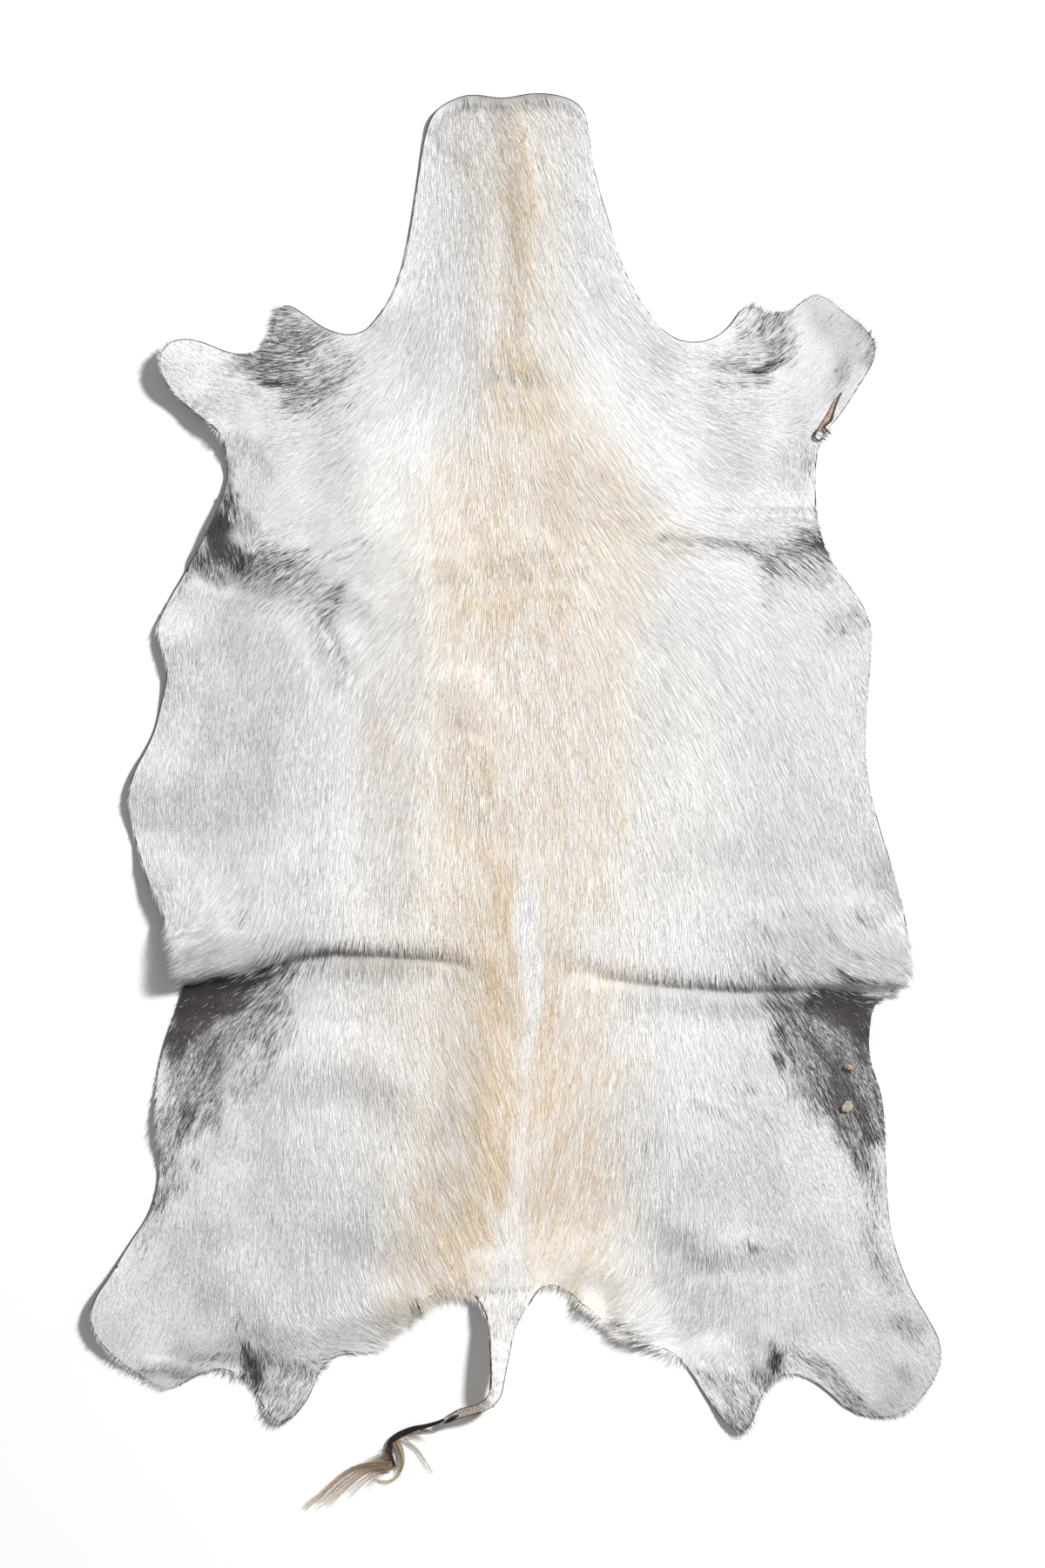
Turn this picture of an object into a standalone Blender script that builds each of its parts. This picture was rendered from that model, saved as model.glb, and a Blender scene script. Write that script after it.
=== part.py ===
"""A springbok hide laid flat, hair side up: one tanned skin with its coat, and the hair of its tail.

Metres, +Z up. The origin is on the floor under the middle of the whole hide. +Y runs towards the neck
and +X to the right as one looks down on the hair. The tables below are in millimetres.
"""

import math
from collections import namedtuple

import bmesh
import bpy
import numpy as np
from mathutils import Vector
from mathutils.bvhtree import BVHTree
from mathutils.geometry import delaunay_2d_cdt

MM = 0.001

# Thickness of skin and coat together, in metres
COAT_THICKNESS = 0.0050
EDGE_SHARE = 0.42  # at the cut edge the leather is left with only short hair
EDGE_TAPER = 0.035  # how far in from the edge the coat reaches its full thickness

# How finely the sheet is divided, in metres
CELL = 0.017
FOLD_CELL = 0.009
CREASE_STEP = 0.010  # between the points along a crease
CREASE_CLEARANCE = 0.005  # other points stay this far from a crease's points
EDGE_CLEARANCE = 0.007  # inner points stay this far from the cut edge
EDGE_STEPS = 3  # steps of the outline between two edge points
HIGH_FOLD = 5  # millimetres: folds at least this high are divided more finely
INSIDE_ONLY = 1  # delaunay_2d_cdt keeps the triangles inside the outline

TIP_SIDES = 1  # bevel resolution of the dark tail tip

Edge = namedtuple("Edge", "across along")
Ridge = namedtuple("Ridge", "across along height")
Fold = namedtuple("Fold", "name gentle_side steep_side ridge")
Raised = namedtuple("Raised", "name across along height reach")
TailStation = namedtuple("TailStation", "across along width lift tilt")
Lock = namedtuple("Lock", "name across along rise turn_start turn_end length width sway")
Tip = namedtuple("Tip", "across along lift half")

# The cut edge, clockwise from the neck's upper left corner, one table to each stretch
NECK_CUT = (
    Edge(-76, 545), Edge(-68, 566), Edge(-54, 576), Edge(-38, 581), Edge(-12, 578),
    Edge(13, 582), Edge(39, 579), Edge(53, 571), Edge(60, 551),
)
RIGHT_NECK = (
    Edge(65, 515), Edge(77, 474), Edge(92, 431), Edge(108, 404), Edge(125, 384),
    Edge(144, 378), Edge(162, 382),
)
RIGHT_FORELEG = (
    Edge(177, 395), Edge(185, 408), Edge(196, 410), Edge(208, 403), Edge(224, 405),
    Edge(246, 419), Edge(270, 404), Edge(292, 385), Edge(296, 371), Edge(282, 343),
    Edge(263, 314), Edge(249, 291),
)
RIGHT_WAIST = (
    Edge(246, 258), Edge(250, 223), Edge(260, 198), Edge(278, 171), Edge(290, 151),
    Edge(292, 123), Edge(289, 84), Edge(287, 44), Edge(290, 12), Edge(299, -24), Edge(310, -59),
)
RIGHT_FLANK = (
    Edge(319, -91), Edge(323, -123), Edge(319, -149), Edge(299, -161), Edge(291, -186),
    Edge(291, -211), Edge(301, -243), Edge(303, -291), Edge(307, -348), Edge(322, -395),
)
RIGHT_HIND_LEG = (
    Edge(339, -425), Edge(349, -447), Edge(346, -468), Edge(332, -490), Edge(315, -503),
    Edge(294, -505), Edge(272, -498), Edge(251, -480), Edge(229, -470), Edge(215, -473),
)
RIGHT_LOBE = (
    Edge(203, -487), Edge(195, -508), Edge(187, -518), Edge(176, -513), Edge(157, -491), Edge(137, -461),
)
RIGHT_RUMP = (Edge(113, -449), Edge(80, -437), Edge(53, -414), Edge(31, -398), Edge(20, -399))
LEFT_RUMP = (Edge(-45, -403), Edge(-74, -413), Edge(-99, -434), Edge(-117, -450), Edge(-149, -455))
LEFT_LOBE = (
    Edge(-165, -477), Edge(-177, -498), Edge(-194, -510), Edge(-208, -499), Edge(-217, -482),
)
LEFT_HIND_LEG = (
    Edge(-231, -470), Edge(-252, -466), Edge(-270, -475), Edge(-288, -482), Edge(-311, -471),
    Edge(-334, -453), Edge(-348, -431), Edge(-349, -413), Edge(-333, -386), Edge(-317, -359),
)
LEFT_FLANK = (
    Edge(-301, -334), Edge(-294, -302), Edge(-297, -263), Edge(-297, -231), Edge(-290, -198),
    Edge(-281, -168), Edge(-277, -138), Edge(-287, -100),
)
LEFT_WAIST = (
    Edge(-306, -56), Edge(-317, -13), Edge(-317, 16), Edge(-299, 55), Edge(-291, 86), Edge(-287, 108),
    Edge(-296, 141), Edge(-287, 164), Edge(-270, 193), Edge(-252, 226), Edge(-240, 257),
)
LEFT_FORELEG = (
    Edge(-238, 276), Edge(-245, 301), Edge(-261, 316), Edge(-284, 337), Edge(-294, 357),
    Edge(-292, 373), Edge(-277, 381), Edge(-258, 378), Edge(-237, 370), Edge(-215, 371),
)
LEFT_BRISKET = (
    Edge(-204, 385), Edge(-200, 403), Edge(-192, 410), Edge(-177, 403), Edge(-154, 388), Edge(-130, 385),
)
LEFT_NECK = (Edge(-115, 398), Edge(-100, 423), Edge(-89, 465), Edge(-82, 508))

# The tail's skin from its root to the dark tip: a strip that narrows, bends to the left and twists.
# Its tilt is how steeply it rises to the right-hand side of its run, which goes tailward
TAIL = (
    TailStation(-11, -411, 43, 9, 0),
    TailStation(-12, -427, 25, 12, 0.15),
    TailStation(-14, -448, 16.5, 15, 0.5),
    TailStation(-16.5, -470, 11, 17, 0.9),
    TailStation(-19, -485, 9.5, 16, 0.8),
    TailStation(-29, -493, 8, 14, 0.2),
    TailStation(-43, -497, 8.5, 11, 0),
    TailStation(-54, -502, 7, 9, 0),
    TailStation(-62, -506.5, 6, 7, 0),
)

# Pleats and soft creases. Each ridge is given from left to right. The skin rises gently to it on its
# left-hand side as one goes along it, which is mostly headward, and drops more steeply on the other
FOLDS = (
    Fold("left flank", 105, 10, (
        Ridge(-283, -143, 21), Ridge(-225, -130, 17), Ridge(-177, -114, 12.5), Ridge(-154, -108, 10.5),
        Ridge(-110, -110, 6.5), Ridge(-70, -113, 4.5), Ridge(-45, -117, 3.4), Ridge(-29, -130, 2.4),
        Ridge(-15, -162, 1),
    )),
    Fold("right flank", 85, 9, (
        Ridge(68, -130, 2), Ridge(110, -136, 4), Ridge(180, -141, 7.5), Ridge(235, -142, 11),
        Ridge(322, -147, 12),
    )),
    Fold("left armpit", 40, 18, (Ridge(-262, 205, 7), Ridge(-140, 170, 3))),
    Fold("right armpit", 40, 16, (Ridge(110, 221, 1), Ridge(190, 213, 5), Ridge(262, 228, 7))),
    Fold("across the withers", 30, 24, (Ridge(-62, 196, 1.5), Ridge(32, 200, 1.5))),
    Fold("left ribs", 28, 24, (Ridge(-158, 160, 2.5), Ridge(-133, 108, 1.5))),
    Fold("beside the spine", 26, 24, (Ridge(-40, 88, 2.5), Ridge(-25, -8, 1.5))),
    Fold("round the left thigh", 45, 38, (
        Ridge(-205, -426, 2.5), Ridge(-248, -385, 4), Ridge(-256, -300, 3), Ridge(-236, -248, 2.5),
        Ridge(-190, -224, 3), Ridge(-140, -214, 3.5), Ridge(-80, -250, 1.5),
    )),
    Fold("under the right thigh", 34, 20, (
        Ridge(108, -322, 1.5), Ridge(147, -356, 3), Ridge(183, -368, 3), Ridge(228, -362, 1.5),
    )),
)

# Places where the edge stands off the floor, or the skin swells over air
RAISED = (
    Raised("left foreleg end", -300, 352, 15, 75),
    Raised("left foreleg, rear edge", -262, 306, 13, 55),
    Raised("left armpit edge", -262, 235, 10, 50),
    Raised("left waist", -300, 120, 7, 52),
    Raised("left belly", -322, 10, 6, 60),
    Raised("left belly, by the flank", -312, -85, 12, 70),
    Raised("left groin", -300, -265, 6, 45),
    Raised("left hind leg end", -352, -420, 9, 75),
    Raised("left lobe", -196, -512, 5, 40),
    Raised("left rump edge", -80, -425, 6, 55),
    Raised("tail root", -10, -420, 9, 60),
    Raised("right rump edge", 90, -440, 5, 55),
    Raised("right lobe", 180, -520, 5, 40),
    Raised("right hind leg end", 345, -470, 4, 60),
    Raised("right belly, by the flank", 318, -60, 5, 50),
    Raised("right foreleg end", 280, 400, 4, 55),
    Raised("neck, upper left corner", -76, 575, 4, 45),
    Raised("right thigh", 162, -278, 4, 110),
    Raised("right shoulder", 80, 272, 4, 85),
)

# The dark tail tip, with half its thickness. It rests on the floor from its bend on
TIP_ROUTE = (
    Tip(-65.5, -508, 6.5, 2.0),
    Tip(-75, -511.5, 4.0, 2.8),
    Tip(-88, -515, 1.5, 3.0),
    Tip(-98, -520, 0, 3.0),
    Tip(-104, -528, 0, 3.0),
    Tip(-103.5, -536, 0, 2.6),
    Tip(-101, -543, 0, 2.0),
)

# Locks of the brush, each with its rise over the floor where it leaves the tip.
# Turns are in degrees: 180 points left and 270 points tailward.
LOCKS = (
    Lock("fan, headward", -103.5, -537.5, 1, 187, 240, 86, 3.0, 1.5),
    Lock("fan, second", -103.2, -539.5, 1, 192, 237, 76, 2.8, 1.5),
    Lock("fan, middle", -102.6, -541.5, 1, 199, 230, 60, 2.6, 1.0),
    Lock("fan, fourth", -101.8, -543.0, 1, 207, 226, 48, 2.4, 1.0),
    Lock("fan, tailward", -100.6, -544.0, 1, 216, 224, 36, 2.2, 0.5),
    Lock("curl", -99.5, -521.0, 1.5, 308, 152, 58, 2.4, 0),
    Lock("long wisp", -95.0, -519.5, 2, 326, 302, 42, 1.8, -1.5),
    Lock("short wisp", -90.0, -516.8, 3, 318, 292, 30, 1.8, -1.0),
    Lock("wisp under the twist", -81.0, -513.5, 4.5, 316, 296, 20, 1.6, -0.5),
)
LOCK_STEPS = 6
LOCK_END_SHARE = 0.22  # a lock's width at its end


def new_collection(name):
    collection = bpy.data.collections.new(name)
    bpy.context.scene.collection.children.link(collection)
    return collection


def new_material(name, colour, roughness):
    material = bpy.data.materials.new(name)
    material.use_nodes = True
    shader = material.node_tree.nodes["Principled BSDF"]
    shader.inputs["Base Color"].default_value = (*colour, 1)
    shader.inputs["Roughness"].default_value = roughness
    shader.inputs["Metallic"].default_value = 0
    return material


def metres(rows):
    """The rows' places as 2D points in metres."""
    return [Vector((row.across, row.along)) * MM for row in rows]


def tail_edges():
    """The tail strip's right edge from root to tip and its left edge back up, square to the tail's run."""
    centres = metres(TAIL)
    right, left = [], []
    for i, station in enumerate(TAIL):
        before = centres[max(i - 1, 0)]
        after = centres[min(i + 1, len(TAIL) - 1)]
        run = (after - before).normalized()
        side = Vector((-run.y, run.x)) * station.width * MM / 2
        right.append(centres[i] + side)
        left.append(centres[i] - side)
    return right, left[::-1]


def edge_points():
    """Every edge point of the hide, clockwise."""
    tail_right, tail_left = tail_edges()
    right_side = NECK_CUT + RIGHT_NECK + RIGHT_FORELEG + RIGHT_WAIST + RIGHT_FLANK
    right_side += RIGHT_HIND_LEG + RIGHT_LOBE + RIGHT_RUMP
    left_side = LEFT_RUMP + LEFT_LOBE + LEFT_HIND_LEG + LEFT_FLANK
    left_side += LEFT_WAIST + LEFT_FORELEG + LEFT_BRISKET + LEFT_NECK
    return metres(right_side) + tail_right + tail_left + metres(left_side)


def outline_mesh():
    """The hide's flat outline as a filled mesh, from a smooth closed curve through the edge points."""
    points = edge_points()
    curve = bpy.data.curves.new("hide_outline", "CURVE")
    curve.dimensions = "2D"
    curve.fill_mode = "BOTH"
    curve.resolution_u = EDGE_STEPS
    spline = curve.splines.new("BEZIER")
    spline.bezier_points.add(len(points) - 1)
    for knot, point in zip(spline.bezier_points, points):
        knot.co = (point.x, point.y, 0)
        knot.handle_left_type = "AUTO"
        knot.handle_right_type = "AUTO"
    spline.use_cyclic_u = True
    outline = bpy.data.objects.new("hide_outline", curve)
    bpy.context.scene.collection.objects.link(outline)
    bpy.context.view_layer.update()
    graph = bpy.context.evaluated_depsgraph_get()
    mesh = bpy.data.meshes.new_from_object(outline.evaluated_get(graph))
    bpy.data.objects.remove(outline)
    return mesh


def edge_distance(place, rim):
    """How far a place is from the cut edge, whose points are the rows of rim in order."""
    runs = np.roll(rim, -1, axis=0) - rim
    offsets = np.array(place) - rim
    along = np.clip((offsets * runs).sum(axis=1) / (runs**2).sum(axis=1), 0, 1)
    return np.sqrt(((offsets - runs * along[:, None]) ** 2).sum(axis=1)).min()


def is_high(fold):
    return max(place.height for place in fold.ridge) >= HIGH_FOLD


def fold_bands():
    """The stretches of the hide's length that hold the steep sides of the high folds."""
    bands = []
    for fold in filter(is_high, FOLDS):
        alongs = [place.along for place in fold.ridge]
        bands.append(((min(alongs) - fold.steep_side) * MM, max(alongs) * MM))
    return bands


def crease_points():
    """Points along the ridge, the slope and the foot of each high fold, so that its crease stays crisp."""
    points = []
    for fold in filter(is_high, FOLDS):
        ridge = metres(fold.ridge)
        for start, end in zip(ridge, ridge[1:]):
            run = end - start
            down = Vector((run.y, -run.x)).normalized() * fold.steep_side * MM
            steps = math.ceil(run.length / CREASE_STEP)
            for i in range(steps):
                for share in (0, 0.5, 1):
                    points.append(start + run * (i + 0.5) / steps + down * share)
    return points


def inner_points(rim, filled):
    """Points over the skin, clear of its cut edge: those of the creases and staggered rows."""
    bands = fold_bands()
    left, low = rim.min(axis=0)
    right, high = rim.max(axis=0)

    def on_skin(place):
        inside = filled.ray_cast((*place, 1), (0, 0, -1))[0]
        return inside and edge_distance(place, rim) > EDGE_CLEARANCE

    creases = np.array([place for place in crease_points() if on_skin(place)])
    points = list(creases)
    row, along = 0, low
    while along < high:
        in_band = any(start < along < end for start, end in bands)
        stagger = CELL / 2 * (row % 2)
        for across in np.arange(left + stagger, right, CELL):
            apart = np.linalg.norm(creases - (across, along), axis=1).min()
            if apart > CREASE_CLEARANCE and on_skin((across, along)):
                points.append((across, along))
        row += 1
        along += FOLD_CELL if in_band else CELL
    return points


def sheet_mesh():
    """The skin's underside: the outline filled with triangles, lifted where it folds or stands up."""
    outline = bmesh.new()
    outline.from_mesh(outline_mesh())
    bmesh.ops.remove_doubles(outline, verts=outline.verts, dist=1e-6)
    filled = BVHTree.FromBMesh(outline)
    whole = bmesh.ops.dissolve_faces(outline, faces=outline.faces)["region"][0]
    rim = np.array([vert.co.xy for vert in whole.verts])
    outline.free()
    points = [Vector(place) for place in [*rim, *inner_points(rim, filled)]]
    rim_edges = [(i, (i + 1) % len(rim)) for i in range(len(rim))]
    places, _, faces, *_ = delaunay_2d_cdt(points, rim_edges, [], INSIDE_ONLY, 1e-6)
    mesh = bpy.data.meshes.new("hide")
    mesh.from_pydata([(*place, skin_height(place)) for place in places], [], faces)
    shares = [EDGE_SHARE + (1 - EDGE_SHARE) * smooth(edge_distance(place, rim) / EDGE_TAPER)
              for place in places]
    return mesh, shares


def smooth(share):
    """0 to 1 with level ends."""
    share = min(max(share, 0), 1)
    return share * share * (3 - 2 * share)


def nearest_on(route, place):
    """A route's nearest stretch, the share of the way along it, and the place's offset from it.

    The offset is given in full, and as how far the place is to the right of the run.
    """
    found = None
    for i, (start, end) in enumerate(zip(route, route[1:])):
        run = end - start
        share = min(max((place - start).dot(run) / run.length_squared, 0), 1)
        away = place - (start + run * share)
        if found is None or away.length < found[2].length:
            right = Vector((run.y, -run.x)).normalized()
            found = (i, share, away, away.dot(right))
    return found


def between(rows, i, share, name):
    """A number of two neighbouring rows, mixed by the share of the way between them."""
    start, end = getattr(rows[i], name), getattr(rows[i + 1], name)
    return start + (end - start) * share


def fold_height(fold, place):
    """How far one fold lifts the skin at a place."""
    i, share, away, to_the_right = nearest_on(metres(fold.ridge), place)
    width = fold.steep_side if to_the_right > 0 else fold.gentle_side
    return between(fold.ridge, i, share, "height") * MM * smooth(1 - away.length / (width * MM))


def raised_height(spot, place):
    """How far one raised place lifts the skin."""
    away = (place - Vector((spot.across, spot.along)) * MM).length
    return spot.height * MM * smooth(1 - away / (spot.reach * MM))


def tail_height(place):
    """The tail strip's height: that of the nearest place along its run, with the strip's tilt."""
    i, share, _, to_the_right = nearest_on(metres(TAIL), place)
    return between(TAIL, i, share, "lift") * MM + between(TAIL, i, share, "tilt") * to_the_right


def skin_height(place):
    """The height of the skin's underside over the floor."""
    tail_starts = TAIL[0].along * MM
    if abs(place.x) < 0.075 and place.y < tail_starts:
        return tail_height(place)
    folds = [fold_height(fold, place) for fold in FOLDS]
    spots = [raised_height(spot, place) for spot in RAISED]
    return max(folds + spots)


def make_hide(collection, material):
    mesh, shares = sheet_mesh()
    mesh.materials.append(material)
    hide = bpy.data.objects.new("hide", mesh)
    collection.objects.link(hide)
    coat = hide.vertex_groups.new(name="coat")
    for index, share in enumerate(shares):
        coat.add([index], share, "REPLACE")
    solidify = hide.modifiers.new("skin and coat", "SOLIDIFY")
    solidify.thickness = COAT_THICKNESS
    solidify.offset = 1
    solidify.vertex_group = coat.name
    return hide


def strand(name, route, radii, sides):
    """A closed strand along a route, as a mesh object."""
    curve = bpy.data.curves.new(name, "CURVE")
    curve.dimensions = "3D"
    curve.bevel_depth = 1
    curve.bevel_resolution = sides
    curve.use_fill_caps = True
    spline = curve.splines.new("POLY")
    spline.points.add(len(route) - 1)
    for point, place, radius in zip(spline.points, route, radii):
        point.co = (*place, 1)
        point.radius = radius
    guide = bpy.data.objects.new(name, curve)
    bpy.context.scene.collection.objects.link(guide)
    bpy.context.view_layer.update()
    graph = bpy.context.evaluated_depsgraph_get()
    mesh = bpy.data.meshes.new_from_object(guide.evaluated_get(graph))
    bpy.data.objects.remove(guide)
    bm = bmesh.new()
    bm.from_mesh(mesh)
    bmesh.ops.remove_doubles(bm, verts=bm.verts, dist=1e-6)
    bmesh.ops.recalc_face_normals(bm, faces=bm.faces)
    bm.to_mesh(mesh)
    bm.free()
    return bpy.data.objects.new(name, mesh)


def lock_route(lock):
    """A lock's run over the floor: it leaves its root, turns evenly and sways once to one side."""
    place = Vector((lock.across, lock.along)) * MM
    step = lock.length * MM / LOCK_STEPS
    route, radii = [], []
    for i in range(LOCK_STEPS + 1):
        share = i / LOCK_STEPS
        radius = lock.width / 2 * MM * (1 - (1 - LOCK_END_SHARE) * share)
        turn = math.radians(lock.turn_start + (lock.turn_end - lock.turn_start) * share)
        forward = Vector((math.cos(turn), math.sin(turn)))
        side = Vector((-forward.y, forward.x)) * lock.sway * MM * math.sin(math.tau * share)
        rise = lock.rise * MM * (1 - smooth(share * LOCK_STEPS / 2))
        route.append((*(place + side), radius + rise))
        radii.append(radius)
        place = place + forward * step
    return route, radii


def make_brush(collection, cutters, material):
    """The dark tail tip with its locks fused in, all resting on the floor."""
    route = [(tip.across * MM, tip.along * MM, (tip.lift + tip.half) * MM) for tip in TIP_ROUTE]
    brush = strand("tail_brush", route, [tip.half * MM for tip in TIP_ROUTE], TIP_SIDES)
    brush.data.materials.append(material)
    collection.objects.link(brush)
    for lock in LOCKS:
        hair = strand(lock.name, *lock_route(lock), 0)
        hair.hide_render = True
        hair.display_type = "WIRE"
        cutters.objects.link(hair)
        fuse = brush.modifiers.new(hair.name, "BOOLEAN")
        fuse.operation = "UNION"
        fuse.object = hair
    return brush


def main():
    for thing in list(bpy.data.objects):
        bpy.data.objects.remove(thing)
    parts = new_collection("springbok_hide")
    cutters = new_collection("lock_shapes")
    make_hide(parts, new_material("hide", (0.80, 0.79, 0.76), 0.75))
    make_brush(parts, cutters, new_material("tail_brush", (0.30, 0.17, 0.09), 0.6))


main()
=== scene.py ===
# A springbok hide laid flat, hair side up, on a pale floor. Metres, +Z up, +Y towards the neck.
import math
from collections import namedtuple
from functools import partial

import bmesh
import bpy
import numpy as np
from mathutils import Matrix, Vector, noise
from mathutils.bvhtree import BVHTree
from mathutils.geometry import delaunay_2d_cdt
from mathutils.kdtree import KDTree


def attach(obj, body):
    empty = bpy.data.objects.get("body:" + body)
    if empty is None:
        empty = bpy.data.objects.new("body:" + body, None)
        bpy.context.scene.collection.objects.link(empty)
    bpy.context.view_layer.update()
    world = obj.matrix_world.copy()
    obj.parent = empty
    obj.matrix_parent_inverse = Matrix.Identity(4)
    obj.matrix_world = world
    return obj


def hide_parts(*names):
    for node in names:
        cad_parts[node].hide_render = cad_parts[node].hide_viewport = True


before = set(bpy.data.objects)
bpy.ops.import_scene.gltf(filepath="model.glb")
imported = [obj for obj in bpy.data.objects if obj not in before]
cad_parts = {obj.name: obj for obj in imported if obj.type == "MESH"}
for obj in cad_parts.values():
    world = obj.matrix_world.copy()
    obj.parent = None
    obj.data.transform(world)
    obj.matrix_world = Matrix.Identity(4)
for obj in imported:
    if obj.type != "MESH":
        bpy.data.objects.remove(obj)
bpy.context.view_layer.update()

# Hair growth
# The coat grows out of the skin in one direction at each place, down the back and outwards on the
# belly and legs. Each row is a place, in millimetres across and along the hide, and the direction that
# the hair points in there, in degrees counter-clockwise from the right.
MM = 0.001
GROWTH_REACH = 10 * MM  # rows closer than this to a place count alike
LENGTH_REACH = 25 * MM
Growth = namedtuple("Growth", "across along heading")
NECK_GROWTH = (
    (-80, 540, 262), (-80, 490, 263), (-84, 440, 252), (-100, 412, 238), (-60, 560, 265),
    (-60, 500, 270), (-60, 440, 264), (-40, 565, 280), (-40, 520, 277), (-40, 460, 270),
    (-40, 400, 267), (-10, 560, 293), (-10, 510, 286), (-10, 450, 279), (-10, 390, 274), (20, 560, 291),
    (20, 500, 288), (20, 440, 290), (20, 380, 291), (48, 555, 292), (50, 500, 283), (55, 450, 288),
    (60, 400, 302), (85, 430, 303), (100, 400, 312),
)
LEFT_SHOULDER_GROWTH = (
    (-80, 380, 245), (-80, 320, 250), (-80, 260, 250), (-110, 370, 220), (-110, 310, 228),
    (-110, 250, 230), (-110, 205, 220), (-150, 360, 205), (-150, 310, 214), (-150, 260, 221),
    (-150, 215, 213), (-190, 350, 184), (-190, 300, 196), (-190, 250, 212), (-190, 215, 206),
    (-210, 385, 176), (-230, 360, 163), (-225, 325, 174), (-270, 360, 150), (-255, 325, 148),
    (-292, 345, 140), (-235, 295, 262), (-215, 285, 270), (-235, 260, 272), (-215, 250, 250),
    (-228, 240, 282), (-240, 215, 287),
)
LEFT_WAIST_GROWTH = (
    (-270, 190, 262), (-285, 165, 238), (-250, 165, 255), (-215, 175, 225), (-180, 180, 218),
    (-140, 175, 211), (-100, 175, 218), (-65, 180, 252), (-280, 125, 272), (-240, 130, 255),
    (-200, 130, 247), (-160, 130, 243), (-120, 130, 232), (-80, 130, 238), (-45, 150, 263),
    (-275, 80, 265), (-230, 80, 260), (-180, 80, 256), (-130, 80, 248), (-95, 80, 246), (-55, 90, 257),
    (-300, 30, 255), (-250, 20, 264), (-200, 20, 262), (-150, 20, 262), (-100, 15, 252), (-60, 20, 266),
    (-30, 30, 271), (-305, -20, 272), (-250, -30, 262), (-200, -30, 260), (-150, -30, 266),
    (-100, -30, 257), (-60, -40, 262), (-30, -40, 275),
)
LEFT_FLANK_GROWTH = (
    (-295, -70, 285), (-270, -75, 262), (-240, -75, 232), (-200, -75, 255), (-150, -80, 264),
    (-100, -80, 268), (-50, -80, 275), (-278, -110, 225), (-250, -110, 206), (-220, -115, 215),
    (-190, -115, 240), (-150, -115, 262), (-100, -115, 270), (-270, -140, 202), (-240, -138, 202),
    (-210, -132, 210),
)
LEFT_HIND_GROWTH = (
    (-275, -165, 215), (-240, -165, 212), (-205, -165, 225), (-175, -155, 248), (-140, -150, 270),
    (-275, -195, 250), (-240, -200, 243), (-205, -200, 250), (-170, -200, 264), (-290, -240, 247),
    (-255, -245, 243), (-215, -245, 250), (-170, -250, 268), (-120, -170, 274), (-80, -170, 279),
    (-45, -170, 285), (-120, -230, 274), (-80, -230, 286), (-45, -230, 293), (-120, -290, 274),
    (-80, -290, 286), (-45, -290, 293), (-295, -300, 258), (-250, -300, 253), (-205, -300, 262),
    (-160, -300, 276), (-305, -350, 248), (-260, -350, 262), (-215, -350, 258), (-170, -350, 264),
    (-130, -350, 274), (-90, -350, 286), (-50, -350, 290), (-335, -400, 245), (-290, -400, 255),
    (-240, -400, 266), (-200, -400, 268), (-160, -400, 275), (-120, -395, 290), (-85, -395, 295),
    (-50, -390, 288), (-150, -425, 310), (-125, -425, 335), (-100, -422, 345), (-62, -403, 310),
    (-345, -440, 262), (-310, -445, 240), (-275, -440, 248), (-250, -450, 212), (-222, -430, 270),
    (-200, -440, 288), (-175, -435, 305), (-140, -442, 350), (-222, -465, 262), (-200, -480, 250),
    (-180, -470, 240), (-190, -505, 243), (-290, -470, 222), (-155, -452, 10),
)
BACK_GROWTH = (
    (0, 300, 279), (0, 240, 272), (0, 180, 270), (0, 60, 270), (0, -60, 268), (5, -120, 270),
    (5, -200, 271), (3, -280, 268), (0, -340, 264), (-2, -390, 262), (-18, -165, 280), (-18, -230, 287),
    (-18, -290, 288), (-18, -350, 285), (35, 330, 296), (35, 270, 297), (35, 210, 284), (35, 150, 281),
    (35, 90, 276), (35, 30, 274), (35, -30, 267), (35, -90, 261), (35, -150, 263), (35, -210, 258),
    (35, -270, 255), (35, -330, 250), (35, -375, 238),
)
RIGHT_SHOULDER_GROWTH = (
    (70, 370, 303), (70, 310, 303), (70, 250, 308), (70, 190, 300), (110, 375, 322), (110, 330, 318),
    (110, 270, 313), (110, 210, 317), (150, 365, 342), (150, 320, 336), (150, 270, 322),
    (150, 225, 338), (185, 330, 345), (190, 365, 5), (200, 395, 58), (165, 385, 25), (190, 290, 336),
    (190, 245, 322), (190, 215, 335), (225, 360, 42), (225, 390, 42), (255, 375, 46), (280, 370, 50),
    (215, 325, 12), (250, 335, 55), (235, 280, 272), (238, 250, 290), (225, 225, 345), (250, 215, 320),
)
RIGHT_WAIST_GROWTH = (
    (70, 130, 293), (70, 70, 281), (70, 10, 274), (110, 150, 309), (110, 90, 297), (110, 30, 289),
    (110, -30, 285), (150, 170, 315), (150, 110, 305), (150, 50, 295), (150, -10, 286), (190, 165, 318),
    (190, 110, 295), (190, 50, 288), (190, -10, 288), (230, 180, 314), (270, 160, 305), (230, 130, 306),
    (270, 110, 292), (230, 70, 297), (270, 50, 285), (230, 10, 292), (270, -10, 284), (230, -50, 286),
    (275, -50, 285),
)
RIGHT_FLANK_GROWTH = (
    (70, -50, 269), (70, -110, 268), (110, -90, 277), (150, -80, 280), (190, -80, 285),
    (190, -130, 282), (230, -95, 296), (265, -95, 299), (300, -95, 297), (230, -125, 316),
    (265, -128, 333), (300, -125, 325), (315, -110, 295), (215, -150, 310), (250, -150, 335),
    (290, -155, 358),
)
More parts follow.
